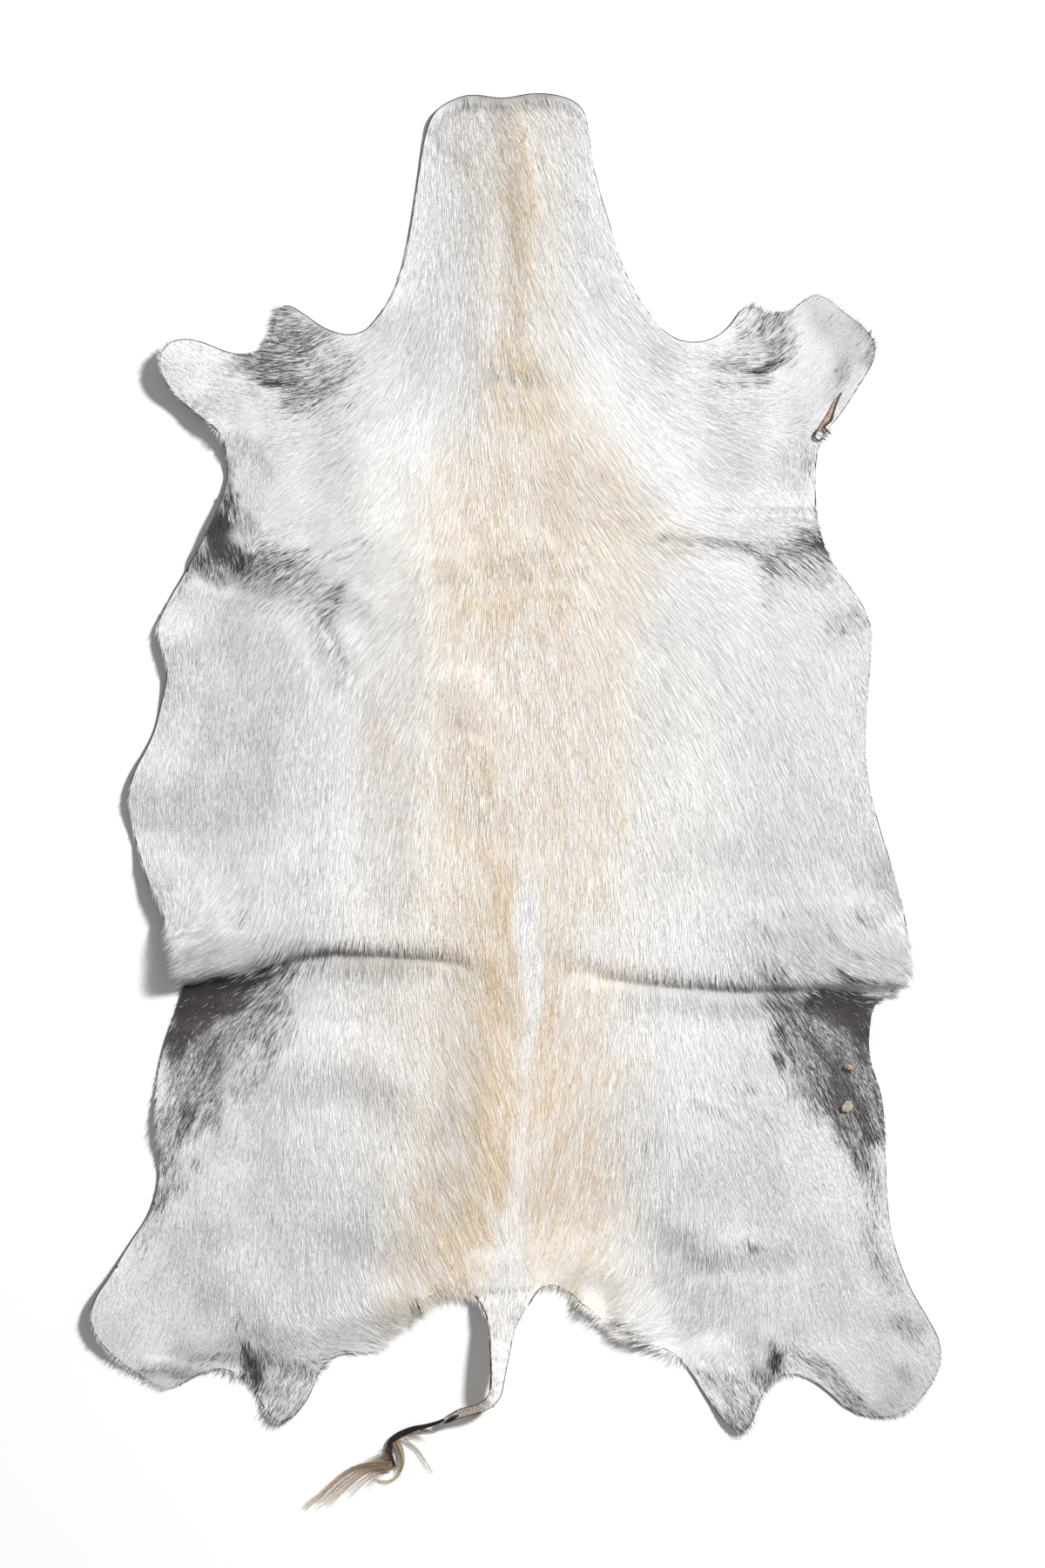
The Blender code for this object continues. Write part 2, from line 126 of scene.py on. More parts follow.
RIGHT_HIND_GROWTH = (
    (70, -170, 261), (70, -230, 256), (70, -290, 260), (70, -350, 248), (75, -390, 222),
    (110, -160, 273), (110, -230, 270), (110, -300, 268), (110, -360, 262), (108, -405, 230),
    (125, -432, 195), (100, -425, 190), (150, -140, 277), (150, -210, 281), (150, -280, 284),
    (150, -350, 270), (150, -405, 256), (160, -440, 215), (190, -190, 290), (190, -250, 297),
    (190, -310, 292), (190, -370, 284), (190, -420, 266), (225, -185, 303), (260, -180, 314),
    (285, -190, 300), (225, -240, 287), (262, -240, 300), (290, -250, 296), (225, -300, 291),
    (265, -300, 285), (295, -310, 276), (225, -360, 290), (265, -360, 285), (300, -370, 290),
    (225, -415, 283), (265, -415, 290), (310, -420, 300), (335, -430, 300), (205, -445, 262),
    (240, -455, 325), (180, -455, 285), (150, -465, 312), (175, -490, 300), (265, -465, 315),
    (300, -465, 310), (325, -470, 300), (295, -490, 318),
)
TAIL_GROWTH = (
    (-11, -415, 268), (-12, -440, 266), (-16, -465, 262), (-22, -484, 235), (-40, -496, 196),
    (-58, -504, 196), (22, -405, 250),
)
GROWTH = [Growth(*row) for row in (
    NECK_GROWTH + LEFT_SHOULDER_GROWTH + LEFT_WAIST_GROWTH + LEFT_FLANK_GROWTH + LEFT_HIND_GROWTH
    + BACK_GROWTH + RIGHT_SHOULDER_GROWTH + RIGHT_WAIST_GROWTH + RIGHT_FLANK_GROWTH
    + RIGHT_HIND_GROWTH + TAIL_GROWTH
)]

HairLength = namedtuple("HairLength", "across along length")  # all in millimetres
HAIR_LENGTHS = [HairLength(*row) for row in (
    (0, 570, 10), (0, 480, 13), (-80, 480, 11), (70, 480, 11), (0, 300, 15), (-110, 300, 12),
    (110, 300, 12), (-190, 370, 8), (-290, 350, 6), (190, 370, 8), (280, 370, 6), (-230, 240, 8),
    (235, 240, 8), (-270, 100, 9), (270, 100, 9), (-150, 50, 13), (150, 50, 13), (0, 50, 16),
    (-290, -50, 12), (-250, -110, 18), (-150, -110, 15), (290, -50, 12), (270, -120, 18), (0, -100, 15),
    (-250, -180, 5), (265, -180, 5), (-160, -200, 13), (160, -200, 13), (-45, -280, 18), (55, -280, 17),
    (3, -250, 10), (-90, -390, 18), (110, -400, 18), (-280, -300, 9), (285, -300, 8), (-200, -380, 10),
    (220, -380, 9), (-320, -430, 7), (320, -440, 6), (-190, -490, 7), (170, -490, 7), (-8, -410, 8),
    (-14, -450, 6), (-50, -500, 3), (60, -404, 9), (36, -390, 7), (-60, -400, 14),
)]


def nearness(places, rows, reach):
    """How much each row counts at each place, in shares that add up to 1."""
    spots = np.array([(row.across, row.along) for row in rows]) * MM
    apart = ((places[:, None, :] - spots[None, :, :]) ** 2).sum(axis=2)
    weights = 1 / (apart + reach**2) ** 2.5
    return weights / weights.sum(axis=1, keepdims=True)


def hair_directions(places):
    """The unit direction that the hair points in, seen from above, at each place."""
    shares = nearness(places, GROWTH, GROWTH_REACH)
    headings = np.radians([row.heading for row in GROWTH])
    direction = shares @ np.column_stack([np.cos(headings), np.sin(headings)])
    return direction / np.linalg.norm(direction, axis=1, keepdims=True)


def hair_lengths(places):
    """The hair's length at each place."""
    shares = nearness(places, HAIR_LENGTHS, LENGTH_REACH)
    return shares @ np.array([row.length for row in HAIR_LENGTHS]) * MM


# Skin
# One whole tanned skin, soft leather about 1.3 mm thick, cut along its edge with a knife and dried
# with a fold at each flank. It lies loose on the floor on its flesh side.
SKIN_THICKNESS = 1.3 * MM
SKIN_CELL = 5.5 * MM
FINE_CELL = 3.2 * MM
EDGE_STEP = 4.0 * MM
EDGE_LINE = 1.1 * MM  # the leather shows as a dark line this wide where no hair hangs over it
EDGE_CLEARANCE = 3.0 * MM
Zone = namedtuple("Zone", "name left right low high")
FINE_ZONES = (
    Zone("left flank fold", -340, -40, -165, -100),
    Zone("right flank fold", 60, 340, -170, -115),
    Zone("armpits and withers", -270, 260, 160, 240),
    Zone("tail", -75, 30, -520, -400),
)
OVERHANG_SHARE = 0.45  # how much of the hair's length reaches past the skin where it points outwards
COAT_DEPTH = 0.3 * MM  # the skin's cut edge lies this far inside the solid's outline
LEAN = 0.2  # the normals of the solid's hair side lean up more than this, and those of its cut edge less
OUTLINE_ROUNDS = 2  # how often the outline is smoothed
INSET_ROUNDS = 6
HEIGHT_ROUNDS = 3
INSIDE_ONLY = 1  # delaunay_2d_cdt keeps the triangles inside the outline

# Creases that are too fine for the solid model: troughs have heights below zero
Crease = namedtuple("Crease", "name start end start_height end_height upper_side lower_side")
CREASES = (
    Crease("left shoulder", (-92, 205), (-20, 208), 0.07, -0.17, 12, 14),
    Crease("withers", (-62, 196), (32, 200), -1.0, -1.0, 30, 24),
    Crease("left rib groove", (-160, 156), (-150, 136), -0.27, -0.45, 9, 9),
    Crease("left rib groove, lower", (-150, 136), (-135, 106), -0.45, -0.18, 9, 9),
    Crease("left of the spine", (-36, 62), (-26, 10), -0.7, -0.6, 9, 9),
    Crease("left of the spine, lower", (-28, 10), (-32, -30), -0.6, -0.2, 9, 9),
    Crease("neck, left", (-76, 548), (-58, 530), -0.3, -0.2, 7, 7),
    Crease("neck mark", (-24, 362), (8, 356), -0.5, -0.8, 7, 8),
    Crease("right shoulder", (122, 217), (200, 205), -0.42, -0.67, 6, 8),
    Crease("right groove", (130, 95), (150, 62), -0.5, -0.3, 9, 9),
    Crease("left foreleg notch", (-206, 344), (-186, 343), -1.8, -1.2, 6, 7),
    Crease("right foreleg notch", (194, 352), (216, 352), -1.6, -1.4, 5, 6),
    Crease("left hind notch", (-214, -438), (-209, -486), -1.5, -2.2, 8, 8),
    Crease("right hind notch", (207, -438), (205, -478), -1.5, -2.2, 8, 8),
    Crease("left hind leg, rear edge", (-300, -462), (-230, -468), 1.6, 1.8, 9, 8),
    Crease("right lobe, outer", (150, -462), (182, -500), 1.2, 1.4, 6, 6),
    Crease("right lobe, inner", (172, -466), (188, -506), 1.2, 1.0, 5, 5),
    Crease("right thigh scar", (150, -240), (184, -262), 0.35, 0.35, 7, 7),
)


def smooth(shares):
    """0 to 1 with level ends, for a number or an array."""
    shares = np.clip(shares, 0, 1)
    return shares * shares * (3 - 2 * shares)


def along_run(places, start, end):
    """Each place's share of the way along a run, and its offset from the nearest point there."""
    start, end = np.array(start) * MM, np.array(end) * MM
    run = end - start
    share = np.clip((places - start) @ run / (run @ run), 0, 1)
    return share, places - (start + share[:, None] * run)


def clouds(places, size, seed):
    """Soft patches from -1 to 1, about as wide as size."""
    return np.array([noise.noise((place[0] / size, place[1] / size, seed)) for place in places])


def wandering(places, size, reach, seed):
    """The places moved a little, so that a border drawn with them wanders."""
    return places + reach * np.column_stack([clouds(places, size, seed), clouds(places, size, seed + 7)])


def crease_heights(places):
    """How far the fine creases lift or lower the skin."""
    heights = np.zeros(len(places))
    places = wandering(places, 25 * MM, 6 * MM, 5)
    for crease in CREASES:
        share, away = along_run(places, crease.start, crease.end)
        height = crease.start_height + (crease.end_height - crease.start_height) * share
        width = np.where(away[:, 1] > 0, crease.upper_side, crease.lower_side) * MM
        heights += height * MM * smooth(1 - np.linalg.norm(away, axis=1) / width)
    return heights


def solid_of(node):
    """A CAD node as a merged bmesh."""
    solid = bmesh.new()
    solid.from_mesh(bpy.data.objects[node].data)
    bmesh.ops.remove_doubles(solid, verts=solid.verts, dist=1e-6)
    bmesh.ops.recalc_face_normals(solid, faces=solid.faces)
    return solid


def seen_outline(solid):
    """The ring of points round the solid's hair side, seen from above."""
    looks_up = {face: face.normal.z > LEAN for face in solid.faces}
    onward = {}
    for edge in solid.edges:
        upward = [loop for loop in edge.link_loops if looks_up[loop.face]]
        if len(upward) == 1:
            onward.setdefault(upward[0].vert, []).append(upward[0].link_loop_next.vert)
    rings = []
    while onward:
        vert = next(iter(onward))
        ring = []
        while onward.get(vert):
            ring.append(vert.co.xy)
            vert = onward[vert].pop()
        rings.append(ring)
        onward = {vert: others for vert, others in onward.items() if others}
    return np.array(max(rings, key=len))


def spaced(ring, step):
    """The closed ring with its points a step apart."""
    closed = np.vstack([ring, ring[:1]])
    reached = np.concatenate([[0], np.cumsum(np.linalg.norm(np.diff(closed, axis=0), axis=1))])
    stops = np.linspace(0, reached[-1], int(reached[-1] / step), endpoint=False)
    return np.column_stack([np.interp(stops, reached, closed[:, axis]) for axis in (0, 1)])


def ring_area(ring):
    """The area inside a ring, below zero if it runs clockwise."""
    after = np.roll(ring, -1, axis=0)
    return (ring[:, 0] * after[:, 1] - after[:, 0] * ring[:, 1]).sum() / 2


def cut_edge(outline):
    """The skin's cut edge: inside the coat's outline, and further in where the hair hangs over it."""
    for _ in range(OUTLINE_ROUNDS):
        outline = (np.roll(outline, 1, axis=0) + 2 * outline + np.roll(outline, -1, axis=0)) / 4
    run = np.roll(outline, -1, axis=0) - np.roll(outline, 1, axis=0)
    outward = np.column_stack([run[:, 1], -run[:, 0]]) * math.copysign(1, ring_area(outline))
    outward /= np.linalg.norm(outward, axis=1, keepdims=True)
    faces_out = np.clip((hair_directions(outline) * outward).sum(axis=1), 0, 1)
    inset = COAT_DEPTH + OVERHANG_SHARE * faces_out * hair_lengths(outline)
    for _ in range(INSET_ROUNDS):
        inset = (np.roll(inset, 1) + 2 * inset + np.roll(inset, -1)) / 4
    return outline - outward * inset[:, None]


hide_solid = solid_of("hide")
hide_tree = BVHTree.FromBMesh(hide_solid)
edge_ring = spaced(cut_edge(spaced(seen_outline(hide_solid), EDGE_STEP)), EDGE_STEP)
edge_turn = math.copysign(1, ring_area(edge_ring))
hide_solid.free()

edge_finder = KDTree(len(edge_ring))
for index, point in enumerate(edge_ring):
    edge_finder.insert((*point, 0), index)
edge_finder.balance()


def underside(place):
    """The height of the solid's underside at a place, or None off the solid."""
    hit = hide_tree.ray_cast((place[0], place[1], -1), (0, 0, 1))[0]
    return hit.z if hit else None


def inside_edge(place):
    """Whether a place lies inside the cut edge, on the side of its nearest edge point."""
    _, index, distance = edge_finder.find((*place, 0))
    before, after = edge_ring[index - 1], edge_ring[(index + 1) % len(edge_ring)]
    run, off = after - before, np.array(place) - edge_ring[index]
    turned = (run[0] * off[1] - run[1] * off[0]) * edge_turn
    return turned > 0 and distance > EDGE_CLEARANCE


def is_fine(across, along):
    """Whether a place lies in one of the fine zones."""
    return any(
        zone.left * MM < across < zone.right * MM and zone.low * MM < along < zone.high * MM
        for zone in FINE_ZONES
    )


def staggered(cell):
    """Places over the skin's box in staggered rows."""
    low, high = edge_ring.min(axis=0), edge_ring.max(axis=0)
    for number, along in enumerate(np.arange(low[1], high[1], cell * math.sqrt(0.75))):
        for across in np.arange(low[0] + cell / 2 * (number % 2), high[0], cell):
            yield across, along


def skin_points():
    """Points over the skin, closer in the fine zones, and clear of the cut edge."""
    points = []
    for cell, fine in ((SKIN_CELL, False), (FINE_CELL, True)):
        for place in staggered(cell):
            if is_fine(*place) == fine and inside_edge(place) and underside(place) is not None:
                points.append(place)
    return points


def edge_inside(ring):
    """The cut edge moved inwards by the width of its dark line."""
    run = np.roll(ring, -1, axis=0) - np.roll(ring, 1, axis=0)
    inward = np.column_stack([-run[:, 1], run[:, 0]]) * edge_turn
    return ring + inward / np.linalg.norm(inward, axis=1, keepdims=True) * EDGE_LINE


def height_over_floor(place):
    """The underside's height at a place, or that of the nearest part of the solid."""
    height = underside(place)
    if height is None:
        height = hide_tree.find_nearest((place[0], place[1], 0))[0].z
    return height


def flat_sheet():
    """The skin's outline filled with triangles, lying flat."""
    rim = [*edge_ring.tolist(), *edge_inside(edge_ring).tolist()]
    points = [Vector(place) for place in [*rim, *skin_points()]]
    ring = [(i, (i + 1) % len(edge_ring)) for i in range(len(edge_ring))]
    places, _, faces, *_ = delaunay_2d_cdt(points, ring, [], INSIDE_ONLY, 1e-7)
    mesh = bpy.data.meshes.new("skin")
    mesh.from_pydata([(*place, 0) for place in places], [], faces)
    sheet = bmesh.new()
    sheet.from_mesh(mesh)
    bmesh.ops.delete(sheet, geom=[vert for vert in sheet.verts if not vert.link_faces], context="VERTS")
    sheet.to_mesh(mesh)
    sheet.free()
    return mesh


def evened(mesh, heights, rounds):
    """Heights with the solid model's facets smoothed out over the mesh's edges."""
    edges = np.zeros(len(mesh.edges) * 2, int)
    mesh.edges.foreach_get("vertices", edges)
    one, other = edges.reshape(-1, 2).T
    count = np.bincount(one, minlength=len(heights)) + np.bincount(other, minlength=len(heights))
    for _ in range(rounds):
        total = np.bincount(one, heights[other], len(heights))
        total = total + np.bincount(other, heights[one], len(heights))
        heights = (heights + total / count) / 2
    return heights


skin_mesh = flat_sheet()
skin_places = np.array([vert.co.xy for vert in skin_mesh.vertices])
skin_heights = np.array([height_over_floor(place) for place in skin_places])
skin_heights = evened(skin_mesh, skin_heights, HEIGHT_ROUNDS)
skin_heights = np.maximum(skin_heights + crease_heights(skin_places), 0) + SKIN_THICKNESS
skin_mesh.vertices.foreach_set("co", np.column_stack([skin_places, skin_heights]).ravel())
skin_mesh.update()


def store(mesh, name, values):
    """Keeps a number, or a direction across and along, for each of the mesh's points."""
    values = np.asarray(values, np.float32)
    if values.ndim == 1:
        mesh.attributes.new(name, "FLOAT", "POINT").data.foreach_set("value", values)
    else:
        vectors = np.column_stack([values, np.zeros(len(values), np.float32)])
        mesh.attributes.new(name, "FLOAT_VECTOR", "POINT").data.foreach_set("vector", vectors.ravel())


# Colours of the coat
# White hair over most of the hide, cream along the back, and dark hair and bare skin where the legs
# fold against the belly. Some rows also paint shade and shadow into these colours, as marked at each.

# Each row is a stretch of one colour: its softness and, for each place on its run, how far right and
# down the place is, half the stretch's width there, and its strength from 0 to 1. The softness, places
# and widths are in pixels of the camera's picture.
PIXEL_MM = 0.7138
HIDE_MIDDLE = (593.5, 922)  # the pixel over the origin
SPINE_FADE = 0.82  # how strong the wide cream beside the spine is, against the strengths in its rows
Stretch = namedtuple("Stretch", "name softness places")


def faded(places, share):
    """The places with a share of their strength, to the nearest hundredth."""
    return [(*place, round(strength * share, 2)) for *place, strength in places]


CREAM = (
    Stretch("neck stripe", 15, ((585, 108, 9, 0.46), (584, 150, 11, 0.6), (588, 190, 11, 0.68),
        (590, 215, 11, 0.7), (594, 250, 9, 0.66), (594, 300, 8, 0.62), (592, 340, 8, 0.58),
        (590, 375, 7, 0.52), (594, 412, 6, 0.5))),
    Stretch("neck, both sides of the stripe", 40, ((592, 108, 40, 0.22), (590, 250, 40, 0.24),
        (594, 350, 36, 0.22), (598, 430, 34, 0.28))),
    Stretch("neck wisp", 10, ((522, 145, 6, 0.2), (530, 175, 5, 0.25), (538, 200, 4, 0.15))),
    Stretch("nape mark", 7, ((562, 402, 4, 0.35), (585, 412, 5, 0.45), (600, 418, 6, 0.5))),
    Stretch("nape wisp", 8, ((606, 440, 4, 0.2), (618, 465, 4, 0.25), (626, 482, 2, 0.2))),
    Stretch("wide over the back", 90, ((605, 520, 60, 0.08), (605, 620, 85, 0.18), (605, 900, 85, 0.2),
        (600, 1200, 90, 0.22), (600, 1470, 90, 0.24))),
    Stretch("left ribs", 60, ((450, 560, 10, 0.08), (450, 720, 10, 0.06), (450, 860, 16, 0.12),
        (450, 1000, 16, 0.12), (440, 1120, 10, 0.14), (450, 1260, 20, 0.14), (470, 1400, 14, 0.12))),
    Stretch("middle of the shoulders", 45, ((600, 430, 10, 0.12), (608, 480, 20, 0.22),
        (605, 540, 26, 0.24), (605, 600, 30, 0.28), (605, 680, 30, 0.3), (605, 740, 20, 0.18),
        (608, 840, 14, 0.14), (605, 960, 10, 0.16), (605, 1060, 8, 0.18), (606, 1180, 6, 0.14))),
    Stretch("left of the spine", 50, faded(((575, 480, 10, 0.2), (545, 540, 22, 0.34),
        (538, 600, 24, 0.34), (545, 680, 24, 0.34), (546, 760, 14, 0.24), (540, 830, 16, 0.32),
        (545, 900, 16, 0.26), (545, 960, 20, 0.3), (550, 1040, 22, 0.32), (550, 1110, 22, 0.36),
        (555, 1180, 24, 0.42), (548, 1260, 26, 0.46), (530, 1340, 28, 0.5), (510, 1400, 30, 0.5),
        (490, 1450, 28, 0.46), (465, 1495, 18, 0.36)), SPINE_FADE)),
    Stretch("right of the spine", 50, faded(((640, 470, 12, 0.26), (665, 540, 22, 0.34),
        (680, 620, 26, 0.36), (682, 690, 26, 0.34), (682, 760, 18, 0.22), (678, 830, 16, 0.24),
        (670, 910, 16, 0.27), (656, 970, 14, 0.22), (660, 1050, 16, 0.18), (655, 1110, 18, 0.3),
        (650, 1180, 20, 0.32), (650, 1260, 24, 0.38), (655, 1340, 28, 0.44), (655, 1400, 28, 0.44),
        (648, 1450, 26, 0.4), (670, 1488, 14, 0.26)), SPINE_FADE)),
    Stretch("close to the spine, left", 24, ((574, 960, 6, 0.16), (575, 1040, 8, 0.26),
        (567, 1100, 10, 0.3), (566, 1160, 12, 0.44), (566, 1220, 14, 0.56), (566, 1280, 16, 0.64),
        (558, 1340, 14, 0.5), (545, 1400, 12, 0.3), (535, 1440, 8, 0.1))),
    Stretch("close to the spine, right", 24, ((628, 1080, 4, 0.12), (630, 1150, 8, 0.3),
        (632, 1200, 8, 0.42), (630, 1260, 8, 0.42), (628, 1320, 8, 0.24), (630, 1390, 8, 0.16),
        (628, 1436, 6, 0.1))),
    Stretch("right shoulder", 26, ((700, 540, 8, 0.14), (735, 590, 12, 0.2), (768, 620, 12, 0.3))),
    Stretch("withers arc", 8, ((562, 640, 4, 0.32), (575, 632, 5, 0.45), (592, 636, 5, 0.45),
        (603, 650, 3, 0.32))),
    Stretch("withers, left spot", 9, ((508, 638, 4, 0.3), (526, 650, 6, 0.45), (540, 660, 3, 0.35))),
    Stretch("withers, lower spots", 10, ((535, 690, 6, 0.28), (560, 682, 10, 0.4), (585, 690, 8, 0.34),
        (598, 672, 3, 0.2))),
    Stretch("withers, lower right spot", 10, ((632, 680, 8, 0.2), (650, 690, 8, 0.26),
        (655, 705, 4, 0.2))),
    Stretch("withers, small spot", 6, ((610, 710, 4, 0.3), (620, 728, 5, 0.35))),
    Stretch("withers streak", 6, ((465, 682, 3, 0.15), (500, 676, 3, 0.25), (530, 685, 4, 0.3))),
    Stretch("right shoulder wisp", 7, ((738, 640, 3, 0.25), (752, 658, 3, 0.3))),
    Stretch("left of the spine, streak", 7, ((536, 800, 3, 0.2), (545, 845, 4, 0.35),
        (557, 888, 5, 0.5), (559, 925, 4, 0.3))),
    Stretch("left ribs, patches", 14, ((435, 820, 8, 0.22), (450, 880, 10, 0.2), (495, 890, 10, 0.16))),
    Stretch("loin streak", 9, ((435, 930, 4, 0.16), (480, 938, 4, 0.22), (515, 945, 6, 0.3),
        (540, 958, 5, 0.22), (562, 980, 5, 0.25))),
    Stretch("left of the back line", 8, ((575, 982, 4, 0.4), (577, 1010, 5, 0.55), (579, 1040, 4, 0.4),
        (580, 1052, 2, 0.2))),
    Stretch("left loin streak", 8, ((553, 1075, 4, 0.25), (562, 1100, 5, 0.35), (568, 1130, 4, 0.3),
        (572, 1150, 2, 0.2))),
    # Cream hair along the left fold, partly painted warm light bounced inside the fold.
    Stretch("along the left fold", 10, ((395, 1094, 3, 0.35), (450, 1094, 6, 0.5), (500, 1094, 5, 0.44),
        (530, 1102, 5, 0.3), (548, 1122, 5, 0.34), (562, 1152, 6, 0.4), (580, 1190, 5, 0.35))),
    Stretch("left rump, first strand", 8, ((530, 1168, 3, 0.3), (538, 1195, 5, 0.4),
        (552, 1218, 7, 0.4), (574, 1238, 6, 0.3))),
    Stretch("left rump, dark wedge", 9, ((560, 1262, 5, 0.4), (566, 1290, 9, 0.45),
        (570, 1325, 9, 0.45), (574, 1362, 5, 0.3))),
    Stretch("left rump, second strand", 12, ((525, 1335, 6, 0.25), (535, 1370, 10, 0.4),
        (545, 1402, 6, 0.3))),
    Stretch("left rump, third strand", 12, ((505, 1400, 6, 0.25), (518, 1435, 8, 0.3),
        (520, 1462, 4, 0.2))),
    Stretch("right rump strand", 7, ((612, 1285, 2, 0.2), (622, 1265, 4, 0.35), (640, 1252, 5, 0.35),
        (665, 1240, 6, 0.25), (700, 1230, 8, 0.2), (740, 1210, 8, 0.1))),
    Stretch("right rump spot", 6, ((650, 1300, 6, 0.26), (660, 1303, 5, 0.25))),
    Stretch("right rump mark", 4, ((685, 1335, 3, 0.4), (688, 1360, 3, 0.4))),
    # Cream hair along the right fold, partly painted warm light bounced inside the fold.
    Stretch("along the right fold", 10, ((670, 1098, 8, 0.2), (700, 1112, 6, 0.26),
        (740, 1116, 6, 0.24), (790, 1122, 4, 0.16))),
    # Painted warm tint of the shade at the lifted left flank edge, not cream hair.
    Stretch("left flank edge", 18, ((190, 1065, 2, 0.12), (215, 1095, 2, 0.16), (250, 1095, 2, 0.1))),
    Stretch("tail strip", 8, ((576, 1518, 4, 0.2), (570, 1560, 4, 0.26), (566, 1600, 4, 0.3))),
    Stretch("rump, along the tail", 14, ((548, 1460, 8, 0.3), (470, 1490, 14, 0.2),
        (440, 1510, 10, 0.16))),
    Stretch("right ribs", 70, ((800, 820, 50, 0.06), (820, 960, 60, 0.07))),
)
WHITE = (
    Stretch("back line", 5, ((600, 985, 3, 0.3), (610, 1010, 9, 0.6), (604, 1035, 15, 0.8),
        (604, 1065, 12, 0.8), (611, 1100, 11, 0.85), (614, 1130, 9, 0.85), (612, 1160, 6, 0.8),
        (606, 1195, 4, 0.75), (604, 1225, 3, 0.5), (602, 1260, 2.5, 0.4), (598, 1300, 3, 0.4),
        (596, 1340, 5, 0.5), (592, 1380, 4, 0.5), (590, 1410, 5, 0.55), (588, 1432, 5, 0.6))),
    Stretch("tail root", 8, ((587, 1440, 8, 0.6), (582, 1462, 14, 0.6), (576, 1500, 24, 0.6),
        (572, 1560, 14, 0.7), (570, 1600, 14, 0.7))),
    Stretch("left rump, light strand", 5, ((492, 1240, 2, 0.3), (508, 1272, 3, 0.4),
        (516, 1300, 3, 0.4), (528, 1335, 3, 0.4), (552, 1372, 3, 0.4), (575, 1394, 3, 0.35))),
    Stretch("left rump, outer light strand", 6, ((436, 1220, 3, 0.5), (460, 1226, 4, 0.5),
        (480, 1234, 3, 0.4))),
    Stretch("left rump, light patch", 8, ((428, 1290, 6, 0.5), (442, 1312, 6, 0.45))),
    Stretch("left loin, light strand", 5, ((525, 1140, 3, 0.35), (540, 1180, 3, 0.45),
        (550, 1200, 2, 0.35))),
    Stretch("right loin, light patch", 10, ((672, 1055, 8, 0.6), (690, 1075, 12, 0.7),
        (665, 1085, 5, 0.3))),
    Stretch("right rump, light patches", 8, ((690, 1165, 5, 0.4), (720, 1180, 8, 0.5),
        (770, 1195, 6, 0.4))),
    Stretch("right rump, light strand", 5, ((662, 1140, 3, 0.45), (655, 1165, 3, 0.4),
        (662, 1190, 3, 0.3))),
)
